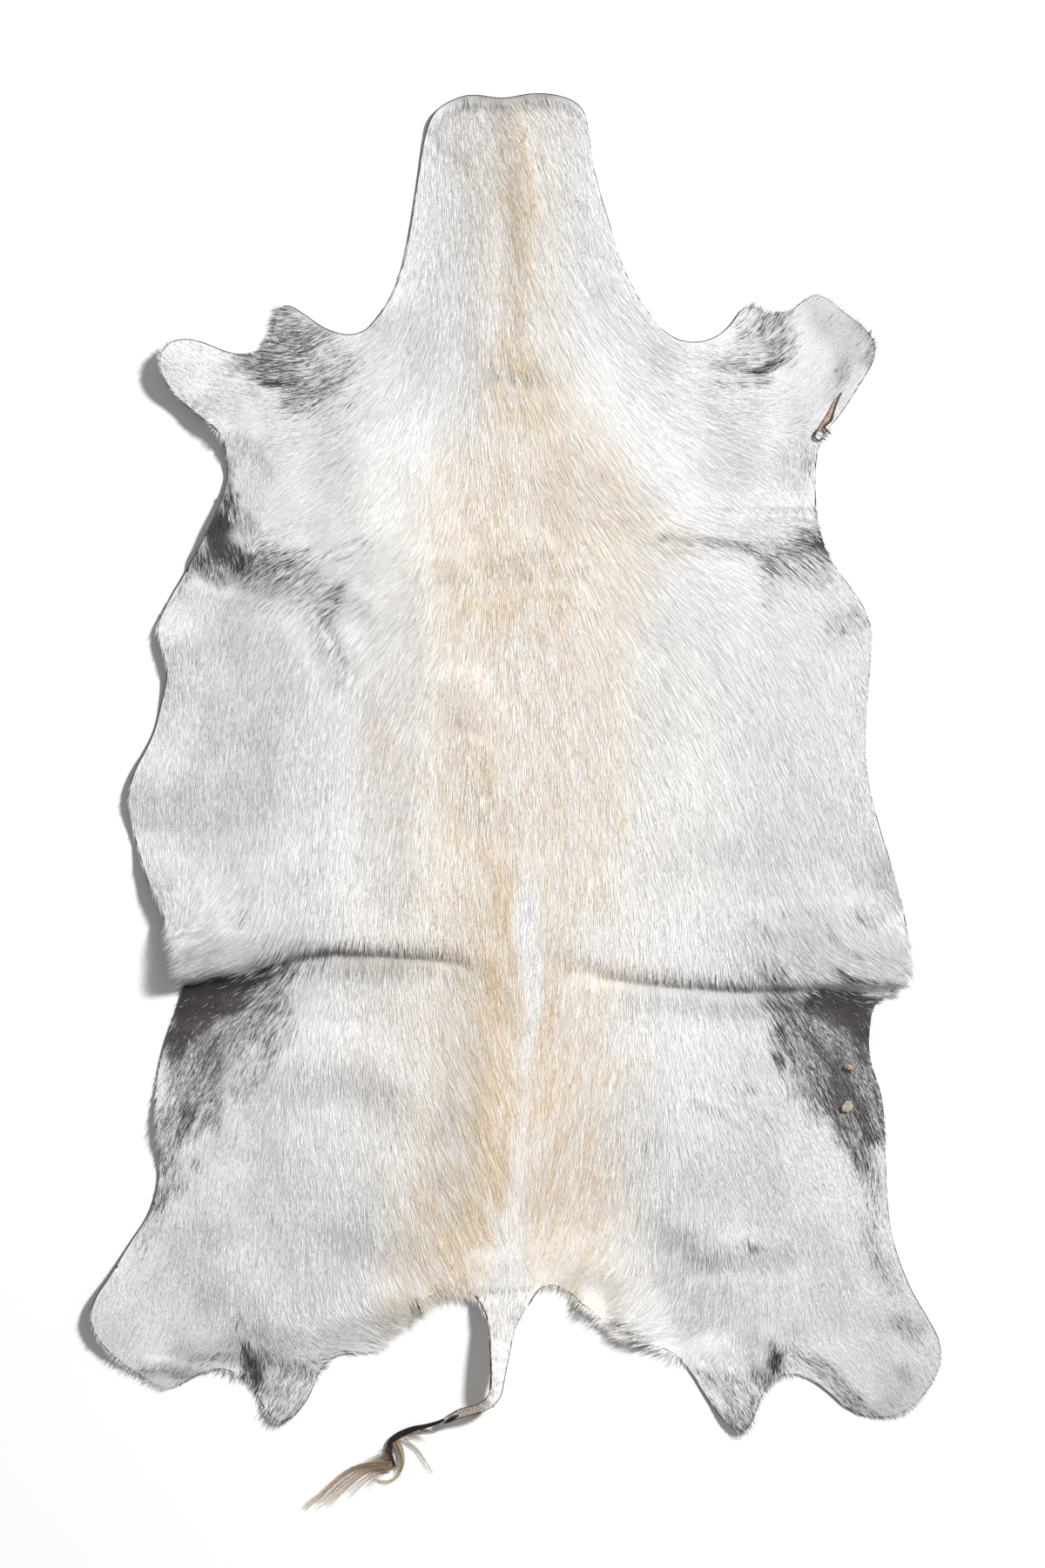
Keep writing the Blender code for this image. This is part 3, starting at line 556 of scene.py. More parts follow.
DARK = (
    Stretch("left foreleg lobe", 9, ((320, 358, 9, 0.5), (330, 375, 18, 0.46), (350, 388, 12, 0.44),
        (372, 382, 8, 0.46), (340, 396, 12, 0.4), (325, 395, 15, 0.46))),
    Stretch("left foreleg core", 10, ((272, 420, 5, 0.44), (290, 412, 9, 0.6), (305, 422, 14, 0.66),
        (320, 430, 11, 0.6), (335, 426, 8, 0.46), (350, 452, 6, 0.28))),
    Stretch("left foreleg slit", 2.5, ((303, 438, 1.5, 0.8), (315, 443, 2.5, 1), (327, 440, 2, 1),
        (332, 436, 1, 0.7))),
    Stretch("left foreleg, mottled", 16, ((345, 400, 12, 0.3), (360, 430, 16, 0.32),
        (350, 455, 14, 0.32), (380, 430, 14, 0.22), (395, 410, 14, 0.14))),
    Stretch("left foreleg, spot", 4, ((345, 440, 5, 0.4), (353, 435, 4, 0.4))),
    Stretch("left foreleg, lower spot", 4, ((335, 465, 5, 0.4), (338, 470, 3, 0.3))),
    Stretch("left foreleg, outer spot", 4, ((290, 450, 4, 0.3), (300, 455, 3, 0.25))),
    Stretch("left foreleg, inner spot", 5, ((384, 438, 4, 0.28), (387, 450, 4, 0.28))),
    Stretch("left foreleg, fading", 26, ((360, 380, 18, 0.16), (390, 420, 20, 0.16),
        (390, 470, 20, 0.12), (395, 520, 14, 0.06))),
    Stretch("left foreleg, rear edge", 4, ((256, 512, 2, 0.4), (262, 550, 2.5, 0.6),
        (270, 582, 3, 0.65))),
    Stretch("left foreleg, rear curl", 3, ((254, 568, 2, 0.4), (262, 578, 2, 0.55))),
    Stretch("left armpit", 9, ((252, 575, 5, 0.8), (250, 600, 10, 1), (252, 622, 12, 1),
        (266, 634, 9, 0.8), (275, 642, 6, 0.6))),
    Stretch("left armpit, lower", 8, ((234, 640, 5, 0.5), (243, 657, 8, 0.45), (255, 664, 7, 0.4))),
    Stretch("left armpit tail", 16, ((280, 643, 5, 0.38), (320, 649, 6, 0.36), (345, 652, 5, 0.34),
        (370, 660, 4, 0.2))),
    Stretch("left armpit fringe", 24, ((300, 672, 14, 0.2), (340, 678, 12, 0.2), (380, 684, 10, 0.12))),
    Stretch("left armpit patch", 7, ((398, 668, 3, 0.3), (392, 685, 6, 0.33), (378, 700, 5, 0.3))),
    Stretch("left rib line", 5, ((372, 705, 4, 0.22), (385, 730, 4, 0.25), (397, 760, 5, 0.25),
        (402, 775, 3, 0.15))),
    Stretch("above the left armpit", 10, ((280, 640, 5, 0.42), (330, 640, 6, 0.24), (400, 630, 8, 0.15),
        (440, 610, 6, 0.08))),
    Stretch("left waist, upper edge", 2.5, ((232, 628, 1.5, 0.5), (215, 660, 1.5, 0.4),
        (200, 690, 1, 0.3))),
    # Dark hair at the foot of the left fold, deepened as painted shadow under its lip.
    Stretch("left fold's foot", 6, ((206, 1142, 6, 1), (250, 1133, 9, 1), (290, 1122, 8, 0.9),
        (325, 1110, 6, 0.6), (355, 1098, 5, 0.4), (378, 1091, 5, 0.3))),
    Stretch("left groin", 10, ((208, 1150, 16, 1), (240, 1150, 18, 0.94), (270, 1143, 15, 0.9),
        (238, 1164, 8, 0.7), (204, 1188, 10, 0.9), (198, 1208, 7, 0.7))),
    Stretch("left groin, inner speckle", 14, ((312, 1118, 8, 0.54), (308, 1145, 12, 0.56),
        (290, 1168, 13, 0.56), (270, 1185, 14, 0.6), (250, 1212, 16, 0.48))),
    Stretch("left groin, outer speckle", 16, ((228, 1202, 20, 0.56), (224, 1235, 26, 0.58),
        (232, 1262, 20, 0.54), (206, 1285, 16, 0.46), (190, 1312, 8, 0.3))),
    Stretch("left groin, patch", 5, ((216, 1262, 5, 0.5), (218, 1280, 6, 0.6), (212, 1295, 5, 0.5))),
    Stretch("left groin, edge patch", 7, ((185, 1262, 8, 0.32), (192, 1275, 6, 0.28))),
    Stretch("left groin, inner patch", 5, ((248, 1282, 5, 0.4), (252, 1292, 4, 0.3))),
    Stretch("left thigh, outer", 14, ((195, 1325, 10, 0.26), (198, 1350, 10, 0.28),
        (184, 1364, 6, 0.42), (178, 1380, 4, 0.34))),
    Stretch("left thigh mark", 2, ((221, 1330, 2.5, 0.5), (225, 1331, 2.5, 0.5))),
    Stretch("left hind leg, outer", 14, ((160, 1430, 8, 0.14), (178, 1396, 6, 0.16))),
    Stretch("left hind notch", 6, ((279, 1540, 3, 0.66), (284, 1552, 6, 0.9), (292, 1570, 8, 0.86),
        (296, 1590, 4, 0.76))),
    Stretch("left lobe", 14, ((300, 1560, 8, 0.34), (325, 1580, 16, 0.36), (325, 1620, 14, 0.36),
        (350, 1575, 8, 0.32), (390, 1562, 4, 0.24))),
    Stretch("left lobe, edge", 3, ((286, 1596, 2, 0.6), (303, 1628, 2.5, 0.7), (318, 1638, 3, 0.8),
        (335, 1628, 2.5, 0.6), (352, 1600, 2, 0.4))),
    Stretch("left lobe crease", 4, ((340, 1560, 2, 0.3), (350, 1578, 3, 0.45), (372, 1572, 2, 0.3))),
    Stretch("left hind leg, rear", 5, ((220, 1565, 3, 0.26), (240, 1552, 4, 0.36), (262, 1556, 4, 0.4),
        (275, 1560, 3, 0.36))),
    Stretch("left hind leg, rear edge", 4, ((200, 1580, 2, 0.2), (235, 1578, 2, 0.3),
        (268, 1584, 2, 0.4))),
    Stretch("left hind leg mark", 3, ((275, 1511, 3, 0.42), (277, 1515, 3, 0.42))),
    Stretch("left hind leg, end mark", 4, ((172, 1574, 3, 0.2), (182, 1570, 3, 0.28))),
    Stretch("right foreleg lobe", 10, ((868, 352, 5, 0.45), (880, 372, 7, 0.38), (882, 395, 8, 0.4),
        (888, 415, 6, 0.45))),
    Stretch("right foreleg lobe, left", 14, ((848, 368, 6, 0.28), (860, 385, 10, 0.32),
        (850, 410, 10, 0.26))),
    Stretch("right foreleg lobe, right", 12, ((895, 362, 5, 0.4), (900, 390, 6, 0.36),
        (905, 415, 4, 0.24))),
    Stretch("right foreleg slit", 3, ((848, 424, 1.5, 0.5), (862, 426, 2, 0.7), (875, 426, 3, 1),
        (888, 420, 3, 0.9), (893, 412, 2, 0.7))),
    Stretch("right foreleg mark", 6, ((815, 415, 3, 0.3), (828, 420, 3, 0.35), (845, 424, 2, 0.35))),
    Stretch("right foreleg, inner spot", 5, ((822, 438, 4, 0.45), (832, 442, 3, 0.4))),
    Stretch("right foreleg, middle spot", 5, ((845, 438, 4, 0.26), (852, 442, 3, 0.26))),
    Stretch("right foreleg, outer spot", 5, ((870, 438, 5, 0.5), (878, 440, 3, 0.4))),
    Stretch("right foreleg end", 8, ((985, 372, 4, 0.36), (1002, 390, 5, 0.46), (1008, 402, 4, 0.5),
        (998, 415, 4, 0.36))),
    Stretch("right foreleg, end mark", 6, ((968, 415, 3, 0.3), (965, 432, 5, 0.45),
        (962, 442, 3, 0.3))),
    Stretch("right foreleg tear", 3, ((966, 452, 1, 0.5), (958, 464, 1, 0.5))),
    Stretch("right foreleg, rear spots", 5, ((930, 520, 4, 0.3), (928, 535, 4, 0.3))),
    Stretch("right armpit edge", 8, ((938, 582, 2, 0.4), (942, 600, 4, 0.66), (947, 618, 6, 0.76),
        (954, 634, 4, 0.7))),
    Stretch("right armpit", 14, ((946, 628, 5, 0.72), (922, 628, 5, 0.56), (898, 636, 5, 0.5),
        (880, 644, 4, 0.4))),
    Stretch("right armpit line", 4, ((870, 637, 2, 0.42), (855, 628, 1.5, 0.4), (830, 622, 1.5, 0.3),
        (795, 621, 1, 0.26), (770, 618, 1, 0.2), (745, 612, 1, 0.12))),
    Stretch("right armpit fuzz", 16, ((935, 655, 8, 0.26), (905, 650, 10, 0.26), (880, 655, 8, 0.22),
        (885, 690, 6, 0.14))),
    Stretch("above the right armpit", 5, ((915, 608, 3, 0.3), (938, 618, 3, 0.36))),
    Stretch("right waist spots", 7, ((955, 712, 8, 0.24), (965, 718, 6, 0.2))),
    Stretch("right waist, upper edge", 7, ((980, 703, 6, 0.24), (990, 706, 6, 0.22))),
    # Dark hair at the foot of the right fold, deepened as painted shadow under its lip.
    Stretch("right fold's foot", 6, ((928, 1148, 5, 0.6), (950, 1152, 6, 0.8), (985, 1152, 6, 0.9),
        (1004, 1148, 3, 0.8))),
    Stretch("right groin", 9, ((940, 1150, 14, 0.86), (975, 1160, 18, 1), (992, 1185, 12, 0.93),
        (993, 1208, 8, 0.8))),
    Stretch("right groin, inner speckle", 15, ((885, 1150, 7, 0.46), (902, 1170, 12, 0.56),
        (924, 1205, 16, 0.6), (948, 1240, 18, 0.72), (970, 1275, 16, 0.68), (985, 1308, 11, 0.54),
        (996, 1342, 6, 0.3))),
    Stretch("right groin, outer speckle", 10, ((935, 1180, 14, 0.6), (962, 1205, 18, 0.68),
        (985, 1235, 16, 0.7), (1000, 1265, 11, 0.68), (1004, 1300, 8, 0.6))),
    Stretch("right groin patch", 6, ((960, 1240, 9, 0.5), (962, 1260, 9, 0.55), (955, 1275, 4, 0.4))),
    Stretch("right groin, outer patch", 6, ((994, 1298, 6, 0.4), (1002, 1304, 6, 0.4))),
    Stretch("right groin spot", 3, ((893, 1178, 4, 0.7), (895, 1183, 4, 0.6))),
    Stretch("right groin, lower spot", 3, ((892, 1209, 4, 0.7), (894, 1214, 4, 0.6))),
    Stretch("right thigh spot", 3, ((916, 1248, 3, 0.3), (920, 1253, 3, 0.3))),
    Stretch("right thigh, outer spots", 4, ((980, 1322, 5, 0.36), (999, 1335, 4, 0.36))),
    Stretch("right flap mark", 4, ((948, 1108, 3, 0.5), (958, 1117, 4, 0.72), (972, 1120, 3, 0.66),
        (985, 1122, 2, 0.4))),
    Stretch("right flap, inner patch", 8, ((875, 1100, 8, 0.25), (885, 1110, 8, 0.25))),
    Stretch("right flap, upper patch", 7, ((868, 1055, 6, 0.18), (882, 1060, 5, 0.18))),
    Stretch("right flap, outer patch", 6, ((985, 1045, 5, 0.25), (1005, 1050, 5, 0.3))),
    Stretch("right flap streak", 5, ((930, 1040, 2, 0.14), (955, 1075, 2, 0.18), (975, 1100, 2, 0.2))),
    Stretch("right hind leg, outer", 8, ((1003, 1345, 5, 0.3), (1005, 1375, 6, 0.2),
        (998, 1415, 7, 0.28), (1010, 1445, 7, 0.25), (1025, 1475, 6, 0.2))),
    Stretch("right hind leg spots", 7, ((1030, 1515, 8, 0.28), (1046, 1530, 7, 0.33),
        (1055, 1520, 4, 0.25))),
    Stretch("right hind leg, end spots", 6, ((1033, 1573, 5, 0.25), (1040, 1580, 4, 0.22))),
    Stretch("right hind leg, rear", 6, ((905, 1548, 4, 0.34), (930, 1560, 6, 0.38),
        (955, 1580, 7, 0.42), (975, 1605, 9, 0.46), (995, 1625, 7, 0.46), (1010, 1628, 4, 0.34))),
    Stretch("right hind notch", 5, ((888, 1538, 3, 0.75), (892, 1552, 7, 0.85), (888, 1570, 5, 0.7))),
    Stretch("right hind notch, lower", 6, ((868, 1575, 6, 0.46), (878, 1585, 6, 0.55),
        (890, 1590, 3, 0.4))),
    Stretch("right lobe", 10, ((820, 1580, 8, 0.24), (840, 1590, 14, 0.28), (850, 1620, 10, 0.36))),
    Stretch("right lobe, edge", 3.5, ((765, 1555, 3, 0.45), (800, 1590, 3, 0.55), (830, 1625, 3, 0.65),
        (850, 1645, 4, 0.85), (860, 1640, 3, 0.8), (868, 1600, 3, 0.6))),
    Stretch("right rump edge", 6, ((720, 1515, 3, 0.36), (742, 1535, 5, 0.46), (760, 1555, 4, 0.42))),
    Stretch("right thigh mark", 3, ((860, 1425, 4, 0.5), (864, 1429, 3, 0.4))),
    Stretch("right thigh, upper mark", 3, ((842, 1238, 2, 0.25), (862, 1243, 2, 0.3),
        (868, 1246, 1.5, 0.2))),
    Stretch("right rump mark", 8, ((748, 1285, 5, 0.12), (750, 1300, 5, 0.12))),
    Stretch("neck mark", 6, ((555, 415, 3, 0.12), (600, 425, 4, 0.26), (615, 424, 3, 0.18))),
    Stretch("left groin, rim", 10, ((330, 1135, 4, 0.3), (330, 1170, 8, 0.3), (300, 1215, 10, 0.3),
        (275, 1245, 10, 0.25))),
    Stretch("right groin, rim", 9, ((888, 1180, 3, 0.3), (893, 1212, 3, 0.34), (912, 1248, 3, 0.24),
        (935, 1280, 3, 0.2))),
    Stretch("left armpit, edge above", 8, ((252, 512, 3, 0.36), (257, 540, 4, 0.4),
        (258, 565, 5, 0.6))),
    Stretch("left armpit, upper fuzz", 20, ((274, 598, 7, 0.42), (292, 620, 9, 0.28),
        (330, 636, 8, 0.16))),
    Stretch("right groin, top", 8, ((896, 1140, 6, 0.46), (912, 1147, 8, 0.66), (925, 1155, 8, 0.7))),
    Stretch("neck cut", 4, ((508, 114, 1.5, 0.3), (540, 107, 2.5, 0.45), (575, 107, 3.5, 0.55),
        (610, 104, 3, 0.5), (645, 108, 2, 0.3))),
)
# Grey hair, and painted shade. The rows along and under the flank folds, at the lifted rump and leg edges, in
# the left thigh's hollow and on the lit side of the left rib paint shade, not hair colour. The broad rows
# make the left side, thighs and rump darker.
GREY_AND_PAINTED_SHADE = (
    Stretch("left side", 90, ((330, 440, 50, 0.14), (300, 560, 60, 0.18), (270, 740, 70, 0.2),
        (260, 900, 80, 0.17), (270, 1040, 60, 0.17))),
    Stretch("left thigh and rump", 80, ((380, 1180, 60, 0.15), (340, 1300, 70, 0.18),
        (330, 1450, 70, 0.2), (180, 1520, 50, 0.22))),
    Stretch("right thigh and rump", 80, ((790, 1180, 40, 0.08), (790, 1300, 50, 0.15),
        (830, 1400, 60, 0.23), (900, 1480, 50, 0.13), (1020, 1560, 50, 0.26))),
    Stretch("right ribs", 60, ((760, 600, 20, 0.14), (780, 700, 30, 0.18), (790, 800, 24, 0.08),
        (800, 900, 10, 0.02), (820, 1000, 40, 0.14), (880, 1060, 40, 0.14))),
    Stretch("neck, left half", 34, ((530, 115, 30, 0.26), (520, 200, 30, 0.24), (510, 280, 30, 0.24),
        (505, 350, 30, 0.22), (515, 410, 30, 0.2), (525, 480, 20, 0.14))),
    Stretch("neck stripe", 10, ((578, 112, 8, 0.22), (582, 180, 9, 0.2), (586, 240, 9, 0.18),
        (588, 300, 8, 0.16), (588, 360, 8, 0.12))),
    Stretch("neck, right half", 34, ((645, 115, 20, 0.16), (655, 200, 14, 0.1), (680, 260, 14, 0.16),
        (700, 330, 16, 0.16), (732, 382, 16, 0.22), (742, 440, 16, 0.14))),
    Stretch("neck cut", 6, ((505, 118, 4, 0.5), (540, 109, 6, 0.6), (575, 109, 8, 0.8),
        (610, 107, 8, 0.7), (640, 110, 5, 0.6), (660, 120, 4, 0.4))),
    Stretch("left of the neck", 44, ((450, 388, 30, 0.24), (430, 440, 34, 0.24), (420, 500, 30, 0.18),
        (435, 580, 26, 0.12), (450, 680, 20, 0.1))),
    Stretch("left shoulder, band", 30, ((355, 465, 10, 0.08), (388, 530, 16, 0.22),
        (392, 590, 16, 0.22), (398, 640, 16, 0.24), (392, 690, 14, 0.26))),
    Stretch("left shoulder", 50, ((300, 560, 20, 0.12), (330, 620, 20, 0.16))),
    Stretch("left ribs, band", 40, ((395, 730, 12, 0.18), (400, 800, 16, 0.14), (385, 900, 16, 0.1),
        (385, 970, 18, 0.14), (390, 1030, 16, 0.06))),
    # Painted shade that dulls the side of the left rib's ridge that faces the lamp.
    Stretch("left rib, lit side", 14, ((412, 690, 8, 0.16), (420, 720, 8, 0.18), (430, 750, 6, 0.12))),
    Stretch("left foreleg", 30, ((165, 440, 12, 0.28), (200, 450, 20, 0.3), (240, 450, 14, 0.22),
        (270, 480, 16, 0.24), (300, 520, 14, 0.14))),
    Stretch("left foreleg wrinkle", 6, ((262, 470, 3, 0.2), (280, 500, 3, 0.2), (300, 530, 2, 0.15))),
    Stretch("right foreleg end", 22, ((938, 345, 10, 0.36), (960, 370, 18, 0.28), (985, 395, 18, 0.34),
        (975, 430, 12, 0.3), (965, 455, 8, 0.3))),
    Stretch("right foreleg", 30, ((950, 400, 18, 0.1), (930, 440, 18, 0.18), (925, 490, 14, 0.2),
        (915, 540, 12, 0.16))),
    Stretch("right foreleg, inner", 30, ((830, 440, 18, 0.16), (850, 485, 20, 0.16),
        (830, 530, 20, 0.12))),
    Stretch("right shoulder", 40, ((800, 470, 20, 0.12), (840, 540, 20, 0.12), (850, 600, 20, 0.14))),
    # The next three rows are painted shade: on the left fold's overhang and along the shadow lines of both
    # flank folds.
    Stretch("over the left fold", 14, ((185, 1085, 8, 0.2), (215, 1100, 9, 0.42), (255, 1096, 9, 0.42),
        (300, 1082, 8, 0.34), (350, 1070, 8, 0.2))),
    Stretch("left fold line", 8, ((372, 1086, 5, 0.4), (400, 1091, 6, 0.44), (450, 1092, 6, 0.5),
        (490, 1094, 5, 0.5), (520, 1101, 4, 0.36), (545, 1120, 3, 0.2))),
    Stretch("right fold line", 9, ((700, 1118, 4, 0.1), (740, 1124, 6, 0.24), (790, 1130, 7, 0.28),
        (840, 1130, 7, 0.26), (870, 1132, 7, 0.28), (895, 1136, 6, 0.3))),
    # The next three rows are painted shade in the hollow of the left thigh and on its upper wall.
    Stretch("left thigh bowl", 40, ((320, 1350, 16, 0.1), (370, 1410, 26, 0.14),
        (350, 1460, 20, 0.12))),
    Stretch("left thigh bowl, deepest", 14, ((385, 1408, 10, 0.18), (410, 1420, 12, 0.18))),
    Stretch("left thigh, front", 16, ((400, 1235, 8, 0.14), (430, 1240, 10, 0.16),
        (455, 1250, 8, 0.12))),
    # Darker hair along the lifted left rump edge, partly painted shade.
    Stretch("left rump edge", 18, ((210, 1560, 12, 0.3), (260, 1550, 12, 0.3), (300, 1535, 14, 0.34),
        (350, 1548, 16, 0.4), (400, 1530, 14, 0.42), (455, 1500, 12, 0.28), (490, 1480, 8, 0.2))),
    Stretch("right thigh", 30, ((770, 1400, 10, 0.1), (790, 1450, 20, 0.14), (810, 1490, 24, 0.18),
        (850, 1500, 20, 0.12))),
    # Painted shade along the crescent of the right haunch.
    Stretch("right thigh arc", 5, ((760, 1395, 2, 0.12), (790, 1425, 3, 0.18), (820, 1448, 3, 0.18),
        (860, 1455, 3, 0.18), (900, 1448, 3, 0.12))),
    # Greyer hair along the lifted right rump edge, partly painted shade.
    Stretch("right rump edge", 16, ((650, 1466, 8, 0.16), (700, 1476, 12, 0.22), (750, 1494, 14, 0.24),
        (785, 1530, 12, 0.26), (808, 1572, 10, 0.26))),
    Stretch("left hind leg", 50, ((200, 1400, 10, 0.02), (150, 1480, 20, 0.08))),
    Stretch("right hind leg", 50, ((980, 1420, 20, 0.06), (1030, 1540, 20, 0.1))),
    Stretch("left lobe", 20, ((310, 1560, 14, 0.16), (320, 1620, 14, 0.16))),
    Stretch("right lobe", 20, ((830, 1570, 16, 0.22), (850, 1620, 14, 0.22))),
    Stretch("tail root", 18, ((590, 1440, 12, 0.18), (582, 1490, 18, 0.26), (575, 1540, 10, 0.2),
        (570, 1600, 8, 0.14))),
    Stretch("tail strip", 8, ((570, 1500, 3, 0.1), (564, 1560, 2, 0.2))),
    Stretch("withers, left mark", 5, ((505, 636, 2, 0.16), (520, 648, 4, 0.3), (540, 656, 3, 0.34))),
    Stretch("withers, middle marks", 5, ((560, 640, 2, 0.22), (574, 634, 3, 0.3), (590, 636, 3, 0.26),
        (603, 652, 2.5, 0.3))),
    Stretch("neck, both sides", 50, ((590, 120, 70, 0.16), (590, 240, 70, 0.14), (590, 340, 80, 0.14),
        (560, 400, 50, 0.1))),
    Stretch("left ribs, inner", 30, ((445, 640, 14, 0.24), (455, 700, 20, 0.28), (460, 760, 20, 0.24),
        (450, 820, 18, 0.2), (450, 900, 18, 0.2), (445, 960, 18, 0.26), (455, 1010, 16, 0.22))),
    Stretch("left flank, middle", 40, ((290, 700, 20, 0.18), (310, 780, 20, 0.12),
        (230, 960, 30, 0.1))),
    Stretch("left shoulder, top", 16, ((420, 350, 8, 0.26), (440, 380, 12, 0.24),
        (440, 420, 12, 0.12))),
    Stretch("neck, left tuft", 6, ((501, 158, 4, 0.4), (506, 168, 5, 0.45), (522, 172, 4, 0.3),
        (538, 186, 3, 0.2))),
    # The next two rows darken the lower edges of the hind legs, partly painted shade at the lifted edges.
    Stretch("hind legs, lower edges", 14, ((100, 1560, 6, 0.3), (150, 1590, 6, 0.3),
        (230, 1565, 8, 0.3), (300, 1635, 8, 0.35))),
    Stretch("right leg, lower edges", 14, ((870, 1545, 12, 0.3), (880, 1580, 10, 0.3),
        (940, 1600, 8, 0.2), (1000, 1625, 10, 0.35), (1040, 1600, 8, 0.25))),
    Stretch("right shoulder, outer", 20, ((760, 405, 12, 0.2), (800, 400, 12, 0.2),
        (820, 410, 12, 0.16))),
    # Painted shade under the right flank fold.
    Stretch("under the right fold", 9, ((720, 1138, 6, 0.16), (790, 1146, 7, 0.22),
        (860, 1150, 7, 0.28), (900, 1152, 6, 0.3))),
    Stretch("right flank edge", 12, ((1000, 960, 6, 0.26), (1015, 990, 8, 0.28),
        (1025, 1030, 6, 0.16))),
    Stretch("right of the back", 40, ((745, 800, 10, 0.1), (745, 960, 12, 0.06),
        (735, 1050, 14, 0.08))),
    # Painted shade under the left flank fold.
    Stretch("under the left fold", 10, ((375, 1103, 6, 0.3), (450, 1105, 7, 0.3),
        (492, 1106, 5, 0.22))),
    Stretch("left rump, lower", 30, ((430, 1380, 16, 0.12), (470, 1440, 18, 0.2),
        (500, 1475, 12, 0.2))),
    Stretch("rump, both sides of the tail", 20, ((545, 1462, 10, 0.16), (640, 1455, 14, 0.16),
        (700, 1470, 16, 0.16))),
    Stretch("left of the spine", 30, ((520, 1120, 10, 0.1), (528, 1200, 14, 0.18),
        (520, 1290, 14, 0.18), (505, 1370, 14, 0.14))),
    Stretch("armpit band, end", 14, ((370, 654, 8, 0.22), (400, 652, 8, 0.22), (430, 655, 7, 0.18))),
)
# Painted shadow: the deepest black at the foot of the flank folds, in the groins and armpits and in the slits
# and notches, over the dark bare skin.
BLACK_AND_PAINTED_SHADOW = (
    Stretch("left fold's foot", 6, ((208, 1140, 7, 0.9), (250, 1130, 9, 0.95), (288, 1120, 7, 0.85),
        (320, 1108, 4, 0.7))),
    Stretch("left groin", 8, ((212, 1160, 8, 0.6), (240, 1150, 10, 0.5))),
    Stretch("right fold's foot", 6, ((930, 1147, 5, 0.6), (965, 1151, 6, 0.8), (1000, 1148, 4, 0.8))),
    Stretch("right groin", 7, ((985, 1165, 10, 0.5), (990, 1185, 6, 0.4))),
    Stretch("left armpit", 5, ((250, 600, 6, 0.9), (250, 618, 8, 0.9), (262, 640, 5, 0.5))),
    Stretch("right armpit", 4, ((944, 605, 3, 0.6), (950, 625, 4, 0.6), (930, 628, 3, 0.4))),
    Stretch("left foreleg slit", 2, ((305, 439, 1.5, 0.8), (315, 443, 2.5, 1), (328, 440, 2, 1))),
    Stretch("right foreleg slit", 2, ((862, 426, 1.5, 0.8), (875, 426, 2.5, 1), (890, 418, 2, 1))),
    Stretch("left hind notch", 4, ((282, 1548, 2, 0.6), (292, 1570, 4, 0.7), (295, 1588, 2, 0.6))),
    Stretch("right hind notch", 4, ((889, 1542, 2, 0.6), (892, 1554, 4, 0.7), (887, 1568, 3, 0.6))),
)
TAN = (
    Stretch("tail twist", 5, ((551, 1612, 9, 1), (520, 1626, 10, 1), (500, 1634, 8, 1))),
)
BARE = (
    Stretch("left groin", 8, ((212, 1148, 16, 1), (248, 1142, 20, 1), (275, 1134, 12, 0.9),
        (235, 1165, 14, 0.8), (206, 1188, 12, 0.86), (200, 1208, 6, 0.7))),
    Stretch("right groin", 10, ((945, 1150, 9, 0.8), (968, 1160, 14, 0.9), (990, 1163, 14, 0.95),
        (993, 1188, 9, 0.8), (995, 1206, 5, 0.5))),
    Stretch("right groin, patch", 8, ((958, 1240, 6, 0.5), (962, 1262, 6, 0.5))),
    Stretch("left armpit", 5, ((252, 595, 6, 0.85), (247, 612, 10, 0.9), (246, 630, 10, 0.75),
        (260, 646, 9, 0.6))),
    Stretch("right armpit", 4, ((944, 605, 3, 0.7), (950, 625, 4, 0.7), (925, 626, 4, 0.5))),
    Stretch("left foreleg slit", 2, ((305, 439, 1.5, 0.8), (315, 443, 2.5, 0.9), (328, 440, 2, 0.9))),
    Stretch("right foreleg slit", 2, ((862, 426, 1.5, 0.8), (875, 426, 2.5, 0.9), (890, 418, 2, 0.9))),
    Stretch("tail twist", 4, ((549, 1612, 10, 1), (497, 1636, 10, 1))),
)
COOL_FROM, COOL_OVER = 0.13, 0.10  # white turns cool this far from the spine, over this width, in metres
STRANDS_FROM, STRANDS_TO = 0.004, 0.14  # strands show between these distances from the spine
STRANDS_FADE = (0.02, 0.04, 0.06)  # and fade in, out and towards the neck over these widths
STRANDS_TOP = 0.10  # they end this far along the back
PATCH_SIZE = 24 * MM
PATCHES = 0.16  # how much the share of grey hair varies over the flanks and waist
DARKEST = 0.93  # the share of dark hair where it is thickest: a few white hairs show everywhere
MOTTLE_SIZE = 16 * MM
MOTTLE = 0.06  # how much the share of dark hair varies over the flanks and waist


def in_millimetres(row):
    """The row on the hide: places to the nearest millimetre, widths and softness to the nearest tenth."""
    middle_right, middle_down = HIDE_MIDDLE
    places = [
        (
            round((right - middle_right) * PIXEL_MM),
            round((middle_down - down) * PIXEL_MM),
            round(half * PIXEL_MM, 1),
            strength,
        )
        for right, down, half, strength in row.places
    ]
    return Stretch(row.name, round(row.softness * PIXEL_MM, 1), places)


def run_share(places, row):
    """How strong one row is at each place, fading out over its softness on both sides of its run."""
    strongest = np.zeros(len(places))
    for start, end in zip(row.places, row.places[1:]):
        share, away = along_run(places, start[:2], end[:2])
        half, strength = (start[i] + (end[i] - start[i]) * share for i in (2, 3))
        depth = (half + row.softness - np.linalg.norm(away, axis=1) / MM) / row.softness
        strongest = np.maximum(strongest, strength * smooth(depth))
    return strongest


def stretch_share(places, rows):
    """How strong the rows are together at each place."""
    clear = np.ones(len(places))
    for row in rows:
        clear *= 1 - run_share(places, in_millimetres(row))
    return 1 - clear


